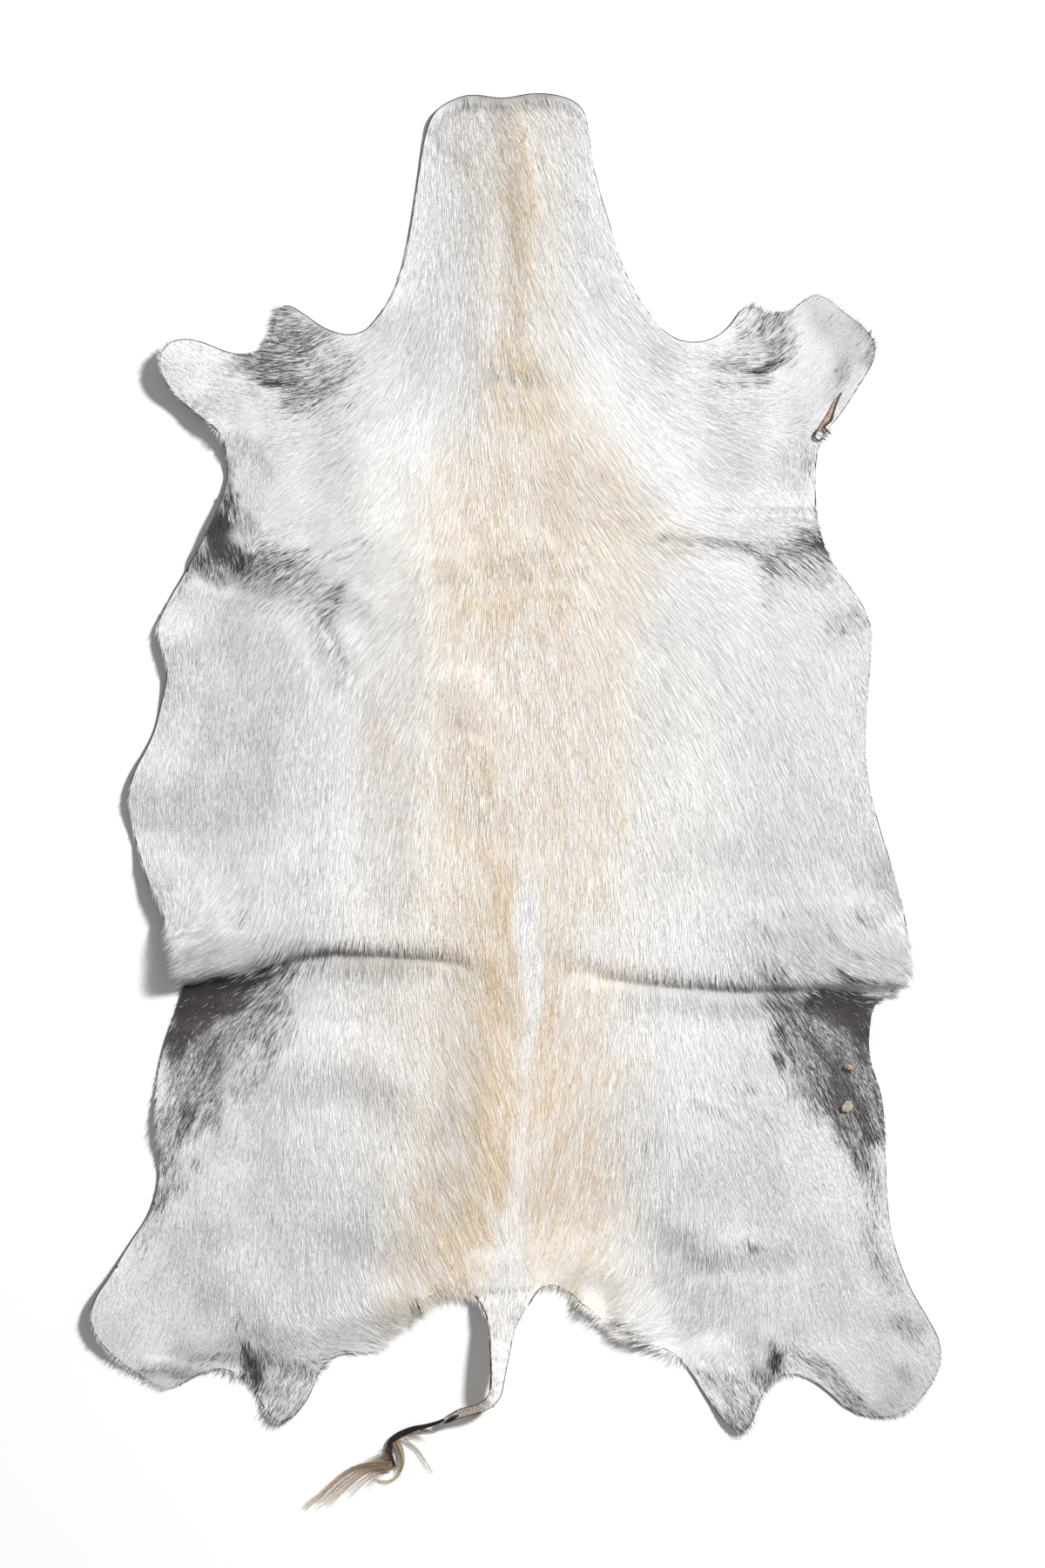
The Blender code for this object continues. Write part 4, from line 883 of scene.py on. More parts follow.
cream_places = wandering(skin_places, 22 * MM, 6 * MM, 1)
cream = stretch_share(cream_places, CREAM) * (1 - stretch_share(skin_places, WHITE))
from_spine = np.abs(skin_places[:, 0])
outer = smooth((from_spine - COOL_FROM) / COOL_OVER)
dark_places = wandering(skin_places, 10 * MM, 3 * MM, 2)
dark = stretch_share(dark_places, DARK)
mottle = MOTTLE * outer * smooth(clouds(skin_places, MOTTLE_SIZE, 3) * 1.6)
store(skin_mesh, "cream", cream * (1 + 0.2 * clouds(skin_places, 18 * MM, 4)))
store(skin_mesh, "dark", np.clip(dark + mottle, 0, DARKEST))
store(skin_mesh, "bare", stretch_share(dark_places, BARE))
store(skin_mesh, "black", stretch_share(dark_places, BLACK_AND_PAINTED_SHADOW))
patches = PATCHES * outer * clouds(skin_places, PATCH_SIZE, 6)
store(skin_mesh, "grey", np.clip(stretch_share(dark_places, GREY_AND_PAINTED_SHADE) + patches, 0, 1))
store(skin_mesh, "tan", stretch_share(skin_places, TAN))
on_edge = [edge_finder.find((*place, 0))[2] < EDGE_LINE / 10 for place in skin_places]
store(skin_mesh, "edge", on_edge)
store(skin_mesh, "cool", outer)
inner_fade, outer_fade, upper_fade = STRANDS_FADE
beside_spine = smooth(from_spine / inner_fade - STRANDS_FROM / inner_fade)
beside_spine = beside_spine * smooth((STRANDS_TO - from_spine) / outer_fade)
store(skin_mesh, "strands", beside_spine * smooth((STRANDS_TOP - skin_places[:, 1]) / upper_fade))
store(skin_mesh, "flow", hair_directions(skin_places))
store(skin_mesh, "hair_length", hair_lengths(skin_places))
skin_bed = bpy.data.objects.new("skin_bed", skin_mesh)
bpy.context.scene.collection.objects.link(skin_bed)


def add_node(tree, kind, inputs=(), **settings):
    """A node with its settings, each input set to a value or joined to another node's output."""
    node = tree.nodes.new(kind)
    for name, value in settings.items():
        setattr(node, name, value)
    for name, value in dict(inputs).items():
        if isinstance(name, int):
            socket = node.inputs[name]
        else:
            socket = next(s for s in node.inputs if s.name == name and s.enabled)
        if isinstance(value, bpy.types.NodeSocket):
            tree.links.new(value, socket)
        else:
            socket.default_value = value
    return node


def out(node, name=None):
    """The node's output of that name, or its first one."""
    return next(s for s in node.outputs if s.enabled and name in (None, s.name))


def maths(tree, operation, first, second=0.0):
    """The output of one step of arithmetic."""
    return out(add_node(tree, "ShaderNodeMath", {0: first, 1: second}, operation=operation))


def surface_number(tree, name):
    """A number kept on the surface, for a shader."""
    return out(add_node(tree, "ShaderNodeAttribute", attribute_name=name), "Fac")


def mixed(tree, share, first, second):
    """Two colours mixed in a shader."""
    node = add_node(
        tree, "ShaderNodeMix", {0: share, 6: first, 7: second}, data_type="RGBA", clamp_factor=True
    )
    return node.outputs[2]


WHITE_HAIR = (0.94, 0.935, 0.925, 1)
COOL_HAIR = (0.78, 0.785, 0.80, 1)
CREAM_HAIR = (0.795, 0.668, 0.502, 1)
GREY_HAIR = (0.29, 0.285, 0.285, 1)
DARK_HAIR = (0.045, 0.043, 0.045, 1)


def coat_colour(tree, cream, grey, dark):
    """White that turns cool outwards, mixed with cream, grey and dark by numbers kept on the surface; the
    grey and dark numbers also carry painted shade.
    """
    colour = mixed(tree, surface_number(tree, "cool"), WHITE_HAIR, COOL_HAIR)
    colour = mixed(tree, surface_number(tree, cream), colour, CREAM_HAIR)
    colour = mixed(tree, surface_number(tree, grey), colour, GREY_HAIR)
    return mixed(tree, surface_number(tree, dark), colour, DARK_HAIR)


def new_material(name, roughness):
    """A material with its node tree and its Principled shader."""
    material = bpy.data.materials.new(name)
    material.use_nodes = True
    shader = material.node_tree.nodes["Principled BSDF"]
    shader.inputs["Roughness"].default_value = roughness
    return material, material.node_tree, shader


# Leather
SKIN_UNDER_HAIR = 0.10  # how much darker than its hair the haired skin is
SKIN_DARK = (0.105, 0.079, 0.072, 1)
SKIN_DARKER = (0.050, 0.040, 0.038, 1)
SKIN_PORES = (0.024, 0.020, 0.019, 1)
# black bare skin, also used as painted shadow in folds and creases
SKIN_BLACK_AND_SHADOW = (0.014, 0.012, 0.012, 1)
SKIN_TAN = (0.50, 0.44, 0.37, 1)
SKIN_TAN_DARK = (0.30, 0.25, 0.20, 1)
FLESH = (0.62, 0.52, 0.42, 1)
FLESH_STAINED = (0.48, 0.38, 0.29, 1)
CUT = (0.045, 0.032, 0.028, 1)
CUT_FIBRES = (0.11, 0.08, 0.065, 1)
PORES_PER_METRE = 700
EDGE_LINE_FROM = 0.25  # where the dark line starts, as a share of the way out to the cut edge


def grain(tree, per_metre, detail, low, high):
    """Fine noise in the object's own coordinates, spread between 0 and 1."""
    place = out(add_node(tree, "ShaderNodeTexCoord"), "Object")
    cells = add_node(tree, "ShaderNodeTexNoise", {"Vector": place, "Scale": per_metre, "Detail": detail})
    spread = add_node(
        tree, "ShaderNodeMapRange", {"Value": cells.outputs[0], "From Min": low, "From Max": high}
    )
    return out(spread)


leather, tree, shader = new_material("hide_leather", 0.62)
pores = grain(tree, PORES_PER_METRE, 2.0, 0.38, 0.60)
haired = mixed(tree, SKIN_UNDER_HAIR, coat_colour(tree, "cream", "grey", "dark"), SKIN_DARK)
bare_skin = mixed(tree, grain(tree, 120, 1.0, 0.35, 0.65), SKIN_DARK, SKIN_DARKER)
bare_skin = mixed(tree, pores, bare_skin, SKIN_PORES)
colour = mixed(tree, surface_number(tree, "bare"), haired, bare_skin)
# The black share paints the deepest shadow in folds, creases, slits and notches over the dark bare skin.
colour = mixed(tree, surface_number(tree, "black"), colour, SKIN_BLACK_AND_SHADOW)
colour = mixed(tree, surface_number(tree, "tan"), colour, mixed(tree, pores, SKIN_TAN, SKIN_TAN_DARK))
is_edge = maths(tree, "GREATER_THAN", surface_number(tree, "edge"), EDGE_LINE_FROM)
tree.links.new(mixed(tree, is_edge, colour, CUT), shader.inputs["Base Color"])
dents = add_node(tree, "ShaderNodeBump", {"Height": pores, "Strength": 0.6, "Distance": 0.4 * MM})
tree.links.new(out(dents), shader.inputs["Normal"])
flesh, tree, shader = new_material("hide_flesh_side", 0.85)
stains = grain(tree, 30, 5.0, 0.35, 0.65)
tree.links.new(mixed(tree, stains, FLESH, FLESH_STAINED), shader.inputs["Base Color"])
nap = add_node(tree, "ShaderNodeBump", {"Height": grain(tree, 900, 2.0, 0.3, 0.7), "Distance": 0.3 * MM})
tree.links.new(out(nap), shader.inputs["Normal"])
cut, tree, shader = new_material("hide_cut_edge", 0.8)
fibres = grain(tree, 1500, 2.0, 0.3, 0.7)
tree.links.new(mixed(tree, fibres, CUT, CUT_FIBRES), shader.inputs["Base Color"])
dents = add_node(tree, "ShaderNodeBump", {"Height": fibres, "Distance": 0.2 * MM})
tree.links.new(out(dents), shader.inputs["Normal"])

skin = bpy.data.objects.new("hide_skin", skin_mesh.copy())
for material in (leather, flesh, cut):
    skin.data.materials.append(material)
bpy.context.scene.collection.objects.link(skin)
solidify = skin.modifiers.new("leather", "SOLIDIFY")
solidify.thickness = SKIN_THICKNESS
solidify.offset = -1
solidify.material_offset = 1
solidify.material_offset_rim = 2
graph = bpy.context.evaluated_depsgraph_get()
thick = bpy.data.meshes.new_from_object(skin.evaluated_get(graph))
skin.modifiers.clear()
skin.data = thick
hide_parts("hide")
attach(skin, "root")

# Coat
# Short stiff hair that lies along the skin, thinner and darker where the legs fold against the belly.
HAIRS_PER_M2 = 795000
HAIR_WIDTH = 0.43 * MM
HAIR_SHAPES = (
    # the hair's widest place along it, and how far its tip lies to one side, in widths
    (0.42, 0.0),
    (0.35, 1.2),
    (0.50, -1.2),
    (0.30, 0.6),
)
HAIR_RIDGE = 0.5  # the height of the hair's ridge over its sides, in widths
COAT_PARTS = ("coat_neck", "coat_shoulders", "coat_back", "coat_rump", "coat_hind_legs")


def hair_shape(name, middle, sway):
    """One hair of unit length and width: a ridge from root to tip with a slope on both its sides."""
    mesh = bpy.data.meshes.new(name)
    side = sway * middle
    left = (middle, side - 0.5, -HAIR_RIDGE)
    right = (middle, side + 0.5, -HAIR_RIDGE)
    mesh.from_pydata([(0, 0, 0), left, right, (1, sway, 0)], [], [(0, 1, 3), (0, 3, 2)])
    store(mesh, "along_hair", [0, middle, middle, 1])
    store(mesh, "across_hair", [0.5, 0, 1, 0.5])
    return bpy.data.objects.new(name, mesh)


hair_shapes = bpy.data.collections.new("hair_shapes")
for number, (middle, sway) in enumerate(HAIR_SHAPES):
    hair_shapes.objects.link(hair_shape(f"hair_shape_{number}", middle, sway))

hair_material, tree, shader = new_material("hide_hair", 0.55)
shader.inputs["Specular IOR Level"].default_value = 0.25
tree.links.new(coat_colour(tree, "warmth", "shade", "tone"), shader.inputs["Base Color"])


STREAK_STEP = 2.0 * MM
STREAK_SAMPLES = (-4, -3, -2, -1, 0, 1, 2, 3, 4)
STREAK_GAIN = 2.6  # brings the spread of the streaks to about 1
TONE_SOFTNESS = 1.5  # how gradually single hairs turn from light to dark
FLOOR_REST = 1.5 * MM  # hair that hangs lower than this bends and lies on the floor
BARE_THINNING = 0.85  # the share of the hair that bare skin lacks
EDGE_FREE = 0.12  # how near the cut edge hair still grows, as a share of the way to its dark line
WAVES_PER_METRE = 60.0
WAVE, COMBED_WAVE = 0.12, 0.03  # how far the hair's direction swings, in radians
TUFT_LIFT = 0.006
ROLL = 0.12
LENGTH_RANGE, WIDTH_RANGE = (0.8, 1.25), (0.7, 1.3)
GREY_STREAKS, GREY_CHANCE = 0.09, 0.16  # how much single streaks and hairs differ from their place
DARK_STREAKS, DARK_CHANCE = 0.6, 0.85
CREAM_STREAKS, CREAM_RANGE = 0.26, (0.82, 1.18)
CREAM_STRANDS = 0.14


def new_tree(name, inputs, result):
    """A Geometry Nodes tree with its named inputs and its one output."""
    tree = bpy.data.node_groups.new(name, "GeometryNodeTree")
    for socket, kind in inputs:
        tree.interface.new_socket(socket, in_out="INPUT", socket_type="NodeSocket" + kind)
    tree.interface.new_socket(result, in_out="OUTPUT", socket_type="NodeSocketGeometry")
    return tree, tree.nodes.new("NodeGroupInput").outputs


def kept_value(tree, name, kind="FLOAT"):
    """A number or a direction kept on the points, for Geometry Nodes."""
    return out(add_node(tree, "GeometryNodeInputNamedAttribute", {"Name": name}, data_type=kind))


def keep(tree, geometry, name, value, domain="POINT"):
    """The geometry with a number kept on it."""
    return out(add_node(
        tree, "GeometryNodeStoreNamedAttribute", {"Geometry": geometry, "Name": name, "Value": value},
        data_type="FLOAT", domain=domain,
    ))


def arithmetic(tree):
    """Functions that multiply, add and subtract in a tree."""
    return [partial(maths, tree, operation) for operation in ("MULTIPLY", "ADD", "SUBTRACT")]


def end_tree(tree, geometry, material):
    """Makes all of the geometry real, gives it its material and hands it out of the tree."""
    real = add_node(tree, "GeometryNodeRealizeInstances", {"Geometry": geometry})
    finished = add_node(tree, "GeometryNodeSetMaterial", {"Geometry": out(real), "Material": material})
    result = tree.nodes.new("NodeGroupOutput")
    tree.links.new(out(finished), result.inputs[0])


def coat_tree():
    """Geometry Nodes that set hairs on a skin between two lines across the hide."""
    tree, given = new_tree("coat", (
        ("Skin", "Geometry"), ("Hairs per square metre", "Float"), ("From", "Float"), ("To", "Float"),
        ("Width", "Float"), ("Lift", "Float"), ("Untidiness", "Float"), ("Seed", "Int"),
        ("Hair shapes", "Collection"), ("Material", "Material"),
    ), "Coat")

    times, plus, minus = arithmetic(tree)

    def chance(low, high, seed):
        return out(add_node(tree, "FunctionNodeRandomValue", {"Min": low, "Max": high, "Seed": seed}))

    def combed(size, seed, step=STREAK_STEP):
        """Noise about 0 that is smeared along the hair, so that it runs in streaks."""
        total = 0.0
        for sample in STREAK_SAMPLES:
            shift = add_node(
                tree, "ShaderNodeVectorMath",
                {0: kept_value(tree, "flow", "FLOAT_VECTOR"), 1: (sample * step,) * 3}, operation="MULTIPLY",
            )
            spot = add_node(tree, "ShaderNodeVectorMath", {0: place, 1: out(shift)}, operation="ADD")
            spot = add_node(
                tree, "ShaderNodeVectorMath", {0: out(spot), 1: (seed, seed, 0)}, operation="ADD"
            )
            cells = add_node(
                tree, "ShaderNodeTexNoise", {"Vector": out(spot), "Scale": 1 / size, "Detail": 0.0}
            )
            total = plus(total, minus(cells.outputs[0], 0.5))
        return times(total, STREAK_GAIN)

    # where hairs grow
    place = out(add_node(tree, "GeometryNodeInputPosition"))
    thickness = minus(1.0, times(kept_value(tree, "bare"), BARE_THINNING))
    spread = add_node(
        tree, "GeometryNodeDistributePointsOnFaces",
        {
            "Mesh": given["Skin"], "Seed": given["Seed"],
            "Density": times(given["Hairs per square metre"], thickness),
        },
    )
    along = out(add_node(tree, "ShaderNodeSeparateXYZ", {"Vector": place}), "Y")
    below = maths(tree, "LESS_THAN", along, given["From"])
    above = maths(tree, "GREATER_THAN", along, given["To"])
    on_edge = maths(tree, "GREATER_THAN", kept_value(tree, "edge"), EDGE_FREE)
    beyond = maths(tree, "MAXIMUM", maths(tree, "MAXIMUM", below, above), on_edge)
    roots = out(add_node(
        tree, "GeometryNodeDeleteGeometry",
        {"Geometry": out(spread, "Points"), "Selection": beyond}, domain="POINT",
    ))

    # how each hair lies
    tuft = combed(2.4 * MM, 0.0)
    waves = add_node(
        tree, "ShaderNodeTexNoise", {"Vector": place, "Scale": WAVES_PER_METRE, "Detail": 1.0}
    )
    wave = times(minus(waves.outputs[0], 0.5), WAVE)
    wave = plus(wave, times(combed(2.5 * MM, 0.3), COMBED_WAVE))
    jitter = times(chance(-1.0, 1.0, 11), given["Untidiness"])
    normal = out(spread, "Normal")
    flow = kept_value(tree, "flow", "FLOAT_VECTOR")
    heading = add_node(
        tree, "ShaderNodeVectorRotate",
        {"Vector": flow, "Axis": normal, "Angle": plus(wave, jitter)}, rotation_type="AXIS_ANGLE",
    )
    laid = add_node(
        tree, "FunctionNodeAxesToRotation", {"Primary Axis": normal, "Secondary Axis": out(heading)},
        primary_axis="Z", secondary_axis="X",
    )
    lift = times(chance(-1.0, -0.1, 12), given["Lift"])
    lift = minus(lift, times(tuft, TUFT_LIFT))
    tilt = add_node(tree, "ShaderNodeCombineXYZ", {"X": chance(-ROLL, ROLL, 13), "Y": lift})
    tilt = add_node(tree, "FunctionNodeEulerToRotation", {0: out(tilt)})
    turned = add_node(
        tree, "FunctionNodeRotateRotation", {0: out(laid), 1: out(tilt)}, rotation_space="LOCAL"
    )
    length = times(kept_value(tree, "hair_length"), chance(*LENGTH_RANGE, 14))
    width = times(given["Width"], chance(*WIDTH_RANGE, 15))
    size = add_node(tree, "ShaderNodeCombineXYZ", {"X": length, "Y": width, "Z": width})

    # the colour of each hair
    shade = plus(times(combed(1.4 * MM, 0.6), GREY_STREAKS), chance(-GREY_CHANCE, GREY_CHANCE, 16))
    shade = plus(shade, kept_value(tree, "grey"))
    rank = plus(times(combed(1.2 * MM, 0.9), DARK_STREAKS), chance(-DARK_CHANCE, DARK_CHANCE, 18))
    rank = times(maths(tree, "TANH", rank), 0.5)
    dark = kept_value(tree, "dark")
    border = times(times(dark, minus(1.0, dark)), TONE_SOFTNESS)
    beyond_rank = minus(minus(dark, 0.5), rank)
    tone = maths(tree, "DIVIDE", beyond_rank, plus(border, 0.02))
    tone = out(add_node(tree, "ShaderNodeClamp", {"Value": plus(tone, 0.5)}))
    strands = times(combed(6.5 * MM, 1.5, 5 * MM), times(kept_value(tree, "strands"), CREAM_STRANDS))
    warmth = plus(times(combed(2.2 * MM, 1.2), CREAM_STREAKS), chance(*CREAM_RANGE, 19))
    warmth = plus(warmth, strands)
    roots = keep(tree, roots, "shade", shade)
    roots = keep(tree, roots, "tone", tone)
    roots = keep(tree, roots, "warmth", times(kept_value(tree, "cream"), warmth))

    # one of the hair shapes on each root
    shapes = add_node(
        tree, "GeometryNodeCollectionInfo",
        {"Collection": given["Hair shapes"], "Separate Children": True, "Reset Children": True},
    )
    pick = add_node(
        tree, "FunctionNodeRandomValue",
        {"Min": 0, "Max": len(HAIR_SHAPES) - 1, "Seed": 17}, data_type="INT",
    )
    planted = add_node(
        tree, "GeometryNodeInstanceOnPoints",
        {
            "Points": roots, "Instance": out(shapes), "Pick Instance": True,
            "Instance Index": out(pick), "Rotation": out(turned), "Scale": out(size),
        },
    )

    # hair that hangs over the edge comes to rest on the floor, once its points are real
    real = out(add_node(tree, "GeometryNodeRealizeInstances", {"Geometry": out(planted)}))
    spot = add_node(tree, "ShaderNodeSeparateXYZ", {"Vector": place})
    height = out(spot, "Z")
    rest = maths(tree, "DIVIDE", FLOOR_REST**2, minus(2 * FLOOR_REST, height))
    rest = add_node(
        tree, "ShaderNodeCombineXYZ", {"X": out(spot, "X"), "Y": out(spot, "Y"), "Z": rest}
    )
    low = maths(tree, "LESS_THAN", height, FLOOR_REST)
    rested = out(add_node(
        tree, "GeometryNodeSetPosition", {"Geometry": real, "Selection": low, "Position": out(rest)}
    ))
    end_tree(tree, rested, given["Material"])
    return tree


def dressed(tree, bed, name, values):
    """The mesh that a node tree makes on a bed, as an object of its own."""
    modifier = bed.modifiers.new(name, "NODES")
    modifier.node_group = tree
    for item in tree.interface.items_tree:
        if item.in_out == "INPUT" and item.name in values:
            modifier[item.identifier] = values[item.name]
    graph = bpy.context.evaluated_depsgraph_get()
    mesh = bpy.data.meshes.new_from_object(bed.evaluated_get(graph))
    bed.modifiers.remove(modifier)
    piece = bpy.data.objects.new(name, mesh)
    bpy.context.scene.collection.objects.link(piece)
    return piece


def equal_parts(mesh, count):
    """Lines across the hide that cut it into parts of equal surface, from the neck down."""
    areas = np.array([face.area for face in mesh.polygons])
    along = np.array([face.center.y for face in mesh.polygons])
    order = np.argsort(-along)
    reached = np.cumsum(areas[order])
    lines = [along[order][np.searchsorted(reached, reached[-1] * i / count)] for i in range(1, count)]
    return [1.0, *(float(line) for line in lines), -1.0]


coat_nodes = coat_tree()
part_lines = equal_parts(skin_mesh, len(COAT_PARTS))
for name, upper, lower in zip(COAT_PARTS, part_lines, part_lines[1:]):
    part = dressed(coat_nodes, skin_bed, name, {
        "Hairs per square metre": float(HAIRS_PER_M2),
        "From": lower,
        "To": upper,
        "Width": HAIR_WIDTH,
        "Lift": 0.07,
        "Untidiness": 0.13,
        "Seed": 5,
        "Hair shapes": hair_shapes,
        "Material": hair_material,
    })
    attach(part, "root")
bpy.data.objects.remove(skin_bed)

# Tail tip
# The tail ends in a strip of bare black skin that has dried twisted and curls down to the floor. It is
# part of the one skin; a fold of the same black skin shows beside it on the tail's twist.
TipPlace = namedtuple("TipPlace", "across along height half_width half_depth roll")
TAIL_TIP = (
    TipPlace(-59.5, -503.2, 11.5, 0.9, 0.5, 0),
    TipPlace(-65.5, -506.4, 9.2, 1.5, 0.9, 10),
    TipPlace(-75, -509.6, 6.8, 2.0, 1.1, 15),
    TipPlace(-84, -511.8, 5.0, 2.5, 1.3, 20),
    TipPlace(-92, -515.0, 3.8, 2.8, 1.4, 15),
    TipPlace(-99.5, -519.2, 3.2, 2.7, 1.4, 10),
    TipPlace(-103.8, -525.0, 2.8, 2.5, 1.3, 0),
    TipPlace(-104.6, -531.5, 2.4, 2.6, 1.2, 0),
    TipPlace(-103.2, -537.5, 2.2, 2.8, 1.1, 0),
    TipPlace(-101.4, -542.2, 2.0, 2.2, 1.0, 0),
    TipPlace(-100.8, -544.2, 1.9, 0.8, 0.6, 0),
)
TAIL_FOLD = (
    TipPlace(-47.5, -499.6, 12.0, 0.5, 0.4, 0),
    TipPlace(-50.5, -501.4, 11.6, 1.3, 0.9, 0),
    TipPlace(-53.5, -502.9, 11.0, 1.5, 1.0, 0),
    TipPlace(-56.5, -504.9, 10.2, 1.2, 0.8, 0),
    TipPlace(-59.0, -506.8, 9.4, 0.5, 0.4, 0),
)
TIP_STEPS = 5  # rings between two places
TIP_SIDES = 14


def smooth_run(rows, steps):
    """The rows' numbers carried on a smooth curve through them."""
    values = np.array(rows, float)
    ends = np.vstack([2 * values[0] - values[1], values, 2 * values[-1] - values[-2]])
    curve = []
    for before, start, end, after in zip(ends, ends[1:], ends[2:], ends[3:]):
        for share in np.linspace(0, 1, steps, endpoint=False):
            bend = (end - before) * share + (2 * before - 5 * start + 4 * end - after) * share**2
            curve.append(start + (bend + (3 * start - before - 3 * end + after) * share**3) / 2)
    return np.array([*curve, values[-1]])


def closed_piece(name, rings):
    """A closed piece from rings of points, each joined to the next, with both ends filled."""
    solid = bmesh.new()
    rings = [[solid.verts.new(point) for point in ring] for ring in rings]
    for ring, beyond in zip(rings, rings[1:]):
        for number in range(len(ring)):
            after = (number + 1) % len(ring)
            solid.faces.new((ring[number], ring[after], beyond[after], beyond[number]))
    solid.faces.new(rings[0])
    solid.faces.new(reversed(rings[-1]))
    bmesh.ops.recalc_face_normals(solid, faces=solid.faces)
    mesh = bpy.data.meshes.new(name)
    solid.to_mesh(mesh)
    solid.free()
    piece = bpy.data.objects.new(name, mesh)
    bpy.context.scene.collection.objects.link(piece)
    return piece


def twisted_strip(name, rows):
    """A closed flat strip along its places, with its rings turned by each place's roll."""
    run = smooth_run(rows, TIP_STEPS)
    centres = run[:, :3] * MM
    ahead = np.gradient(centres, axis=0)
    rings = []
    for centre, forward, (half_width, half_depth, roll) in zip(centres, ahead, run[:, 3:]):
        forward = Vector(forward).normalized()
        side = forward.cross(Vector((0, 0, 1))).normalized()
        up = side.cross(forward)
        turn = math.radians(roll)
        ring = []
        for number in range(TIP_SIDES):
            angle = math.tau * number / TIP_SIDES
            flat, deep = half_width * math.cos(angle), half_depth * math.sin(angle)
            across = flat * math.cos(turn) - deep * math.sin(turn)
            above = flat * math.sin(turn) + deep * math.cos(turn)
            ring.append(Vector(centre) + (side * across + up * above) * MM)
        rings.append(ring)
    strip = closed_piece(name, rings)
    strip.data.shade_smooth()
    return strip


BLACK_SKIN = (0.012, 0.010, 0.010, 1)
BLACK_SKIN_WORN = (0.032, 0.024, 0.020, 1)
black_leather, tree, shader = new_material("tail_black_skin", 0.7)
shader.inputs["Specular IOR Level"].default_value = 0.2
wrinkles = grain(tree, 900, 3.0, 0.42, 0.66)
tree.links.new(mixed(tree, wrinkles, BLACK_SKIN, BLACK_SKIN_WORN), shader.inputs["Base Color"])
dents = add_node(tree, "ShaderNodeBump", {"Height": wrinkles, "Strength": 0.8, "Distance": 0.5 * MM})
tree.links.new(out(dents), shader.inputs["Normal"])
tail_tip = twisted_strip("tail_tip", TAIL_TIP)
tail_fold = twisted_strip("tail_fold", TAIL_FOLD)
for piece in (tail_tip, tail_fold):
    piece.data.materials.append(black_leather)
    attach(piece, "root")

# Torn edge, teat and hard skin
# One foreleg skin is torn at its edge, where it has dried brown and curled up in narrow rolls. In the
# groin on that side stand a dry teat and a flake of hard pale skin, both grown out of the one skin.
TORN_LIP = (
    TipPlace(265.2, 335.5, 2.0, 0.4, 0.4, 0),
    TipPlace(260.2, 327.6, 2.2, 1.0, 0.5, 10),
    TipPlace(256.6, 319.1, 2.4, 1.6, 0.5, 15),
    TipPlace(250.9, 309.8, 2.4, 1.9, 0.5, 10),
    TipPlace(244.5, 302.6, 2.2, 0.8, 0.4, 0),
)
TORN_RIM = (
    TipPlace(265.9, 336.2, 2.4, 0.5, 0.5, 0),
    TipPlace(262.3, 328.3, 2.6, 0.6, 0.6, 0),
    TipPlace(259.5, 319.8, 2.8, 0.6, 0.6, 0),
    TipPlace(257.6, 313.4, 3.2, 0.8, 0.8, 0),
    TipPlace(252.3, 308.8, 3.4, 0.9, 0.8, 0),
    TipPlace(253.6, 305.0, 3.4, 0.9, 0.8, 0),
    TipPlace(257.2, 302.4, 3.0, 0.6, 0.5, 0),
)
TORN_CURL = (
    TipPlace(246.6, 306.4, 2.8, 0.4, 0.4, 0),
    TipPlace(244.3, 303.0, 3.0, 0.8, 0.7, 0),
    TipPlace(244.0, 299.4, 3.0, 0.8, 0.7, 0),
    TipPlace(247.4, 297.2, 2.8, 0.5, 0.5, 0),
    TipPlace(250.6, 298.6, 2.8, 0.6, 0.5, 0),
    TipPlace(253.2, 297.0, 2.6, 0.4, 0.4, 0),
)
TEAT_PLACE = (271.8, -216.3, 3.4)
TEAT_OUTLINE = (
    (-3.8, 2.1), (-1.4, 2.9), (1.8, 1.6), (4.3, -0.7), (3.6, -2.9), (0.7, -2.4), (-2.4, -0.9), (-3.9, 0.4),
)
TEAT_DEPTH = 2.6
FLAKE_PLACE = (270.4, -248.4, 3.2)
FLAKE_OUTLINE = ((-4.8, 0), (-0.5, 4.8), (3.1, 4.1), (5.5, -0.5), (1.2, -4.8), (-4.0, -3.6))
FLAKE_DEPTH = 1.2
KNOB_RINGS = ((-0.5, 0.7), (-0.2, 0.97), (0.1, 1.0), (0.35, 0.9), (0.5, 0.6))  # height, width


def over_the_skin(across, along, height):
    """A height over the skin at a place, as a height over the floor in mm."""
    return height + height_over_floor((across * MM, along * MM)) / MM


def hard_knob(name, place, outline, depth):
    """A closed knob of hard skin: rings of one outline, narrower at its foot and its top."""
    across, along, height = place
    middle = over_the_skin(across, along, height)
    rings = []
    for level, width in KNOB_RINGS:
        above = middle + level * depth
        rings.append([Vector((across + x * width, along + y * width, above)) * MM for x, y in outline])
    return closed_piece(name, rings)


def hard_skin(name, light, dark):
    """Dried skin, blotched from a light to a dark colour, with dents as deep as its blotches."""
    material, tree, shader = new_material(name, 0.6)
    blotches = grain(tree, 700, 3.0, 0.38, 0.62)
    tree.links.new(mixed(tree, blotches, light, dark), shader.inputs["Base Color"])
    dents = add_node(tree, "ShaderNodeBump", {"Height": blotches, "Strength": 0.7, "Distance": 0.4 * MM})
    tree.links.new(out(dents), shader.inputs["Normal"])
    return material


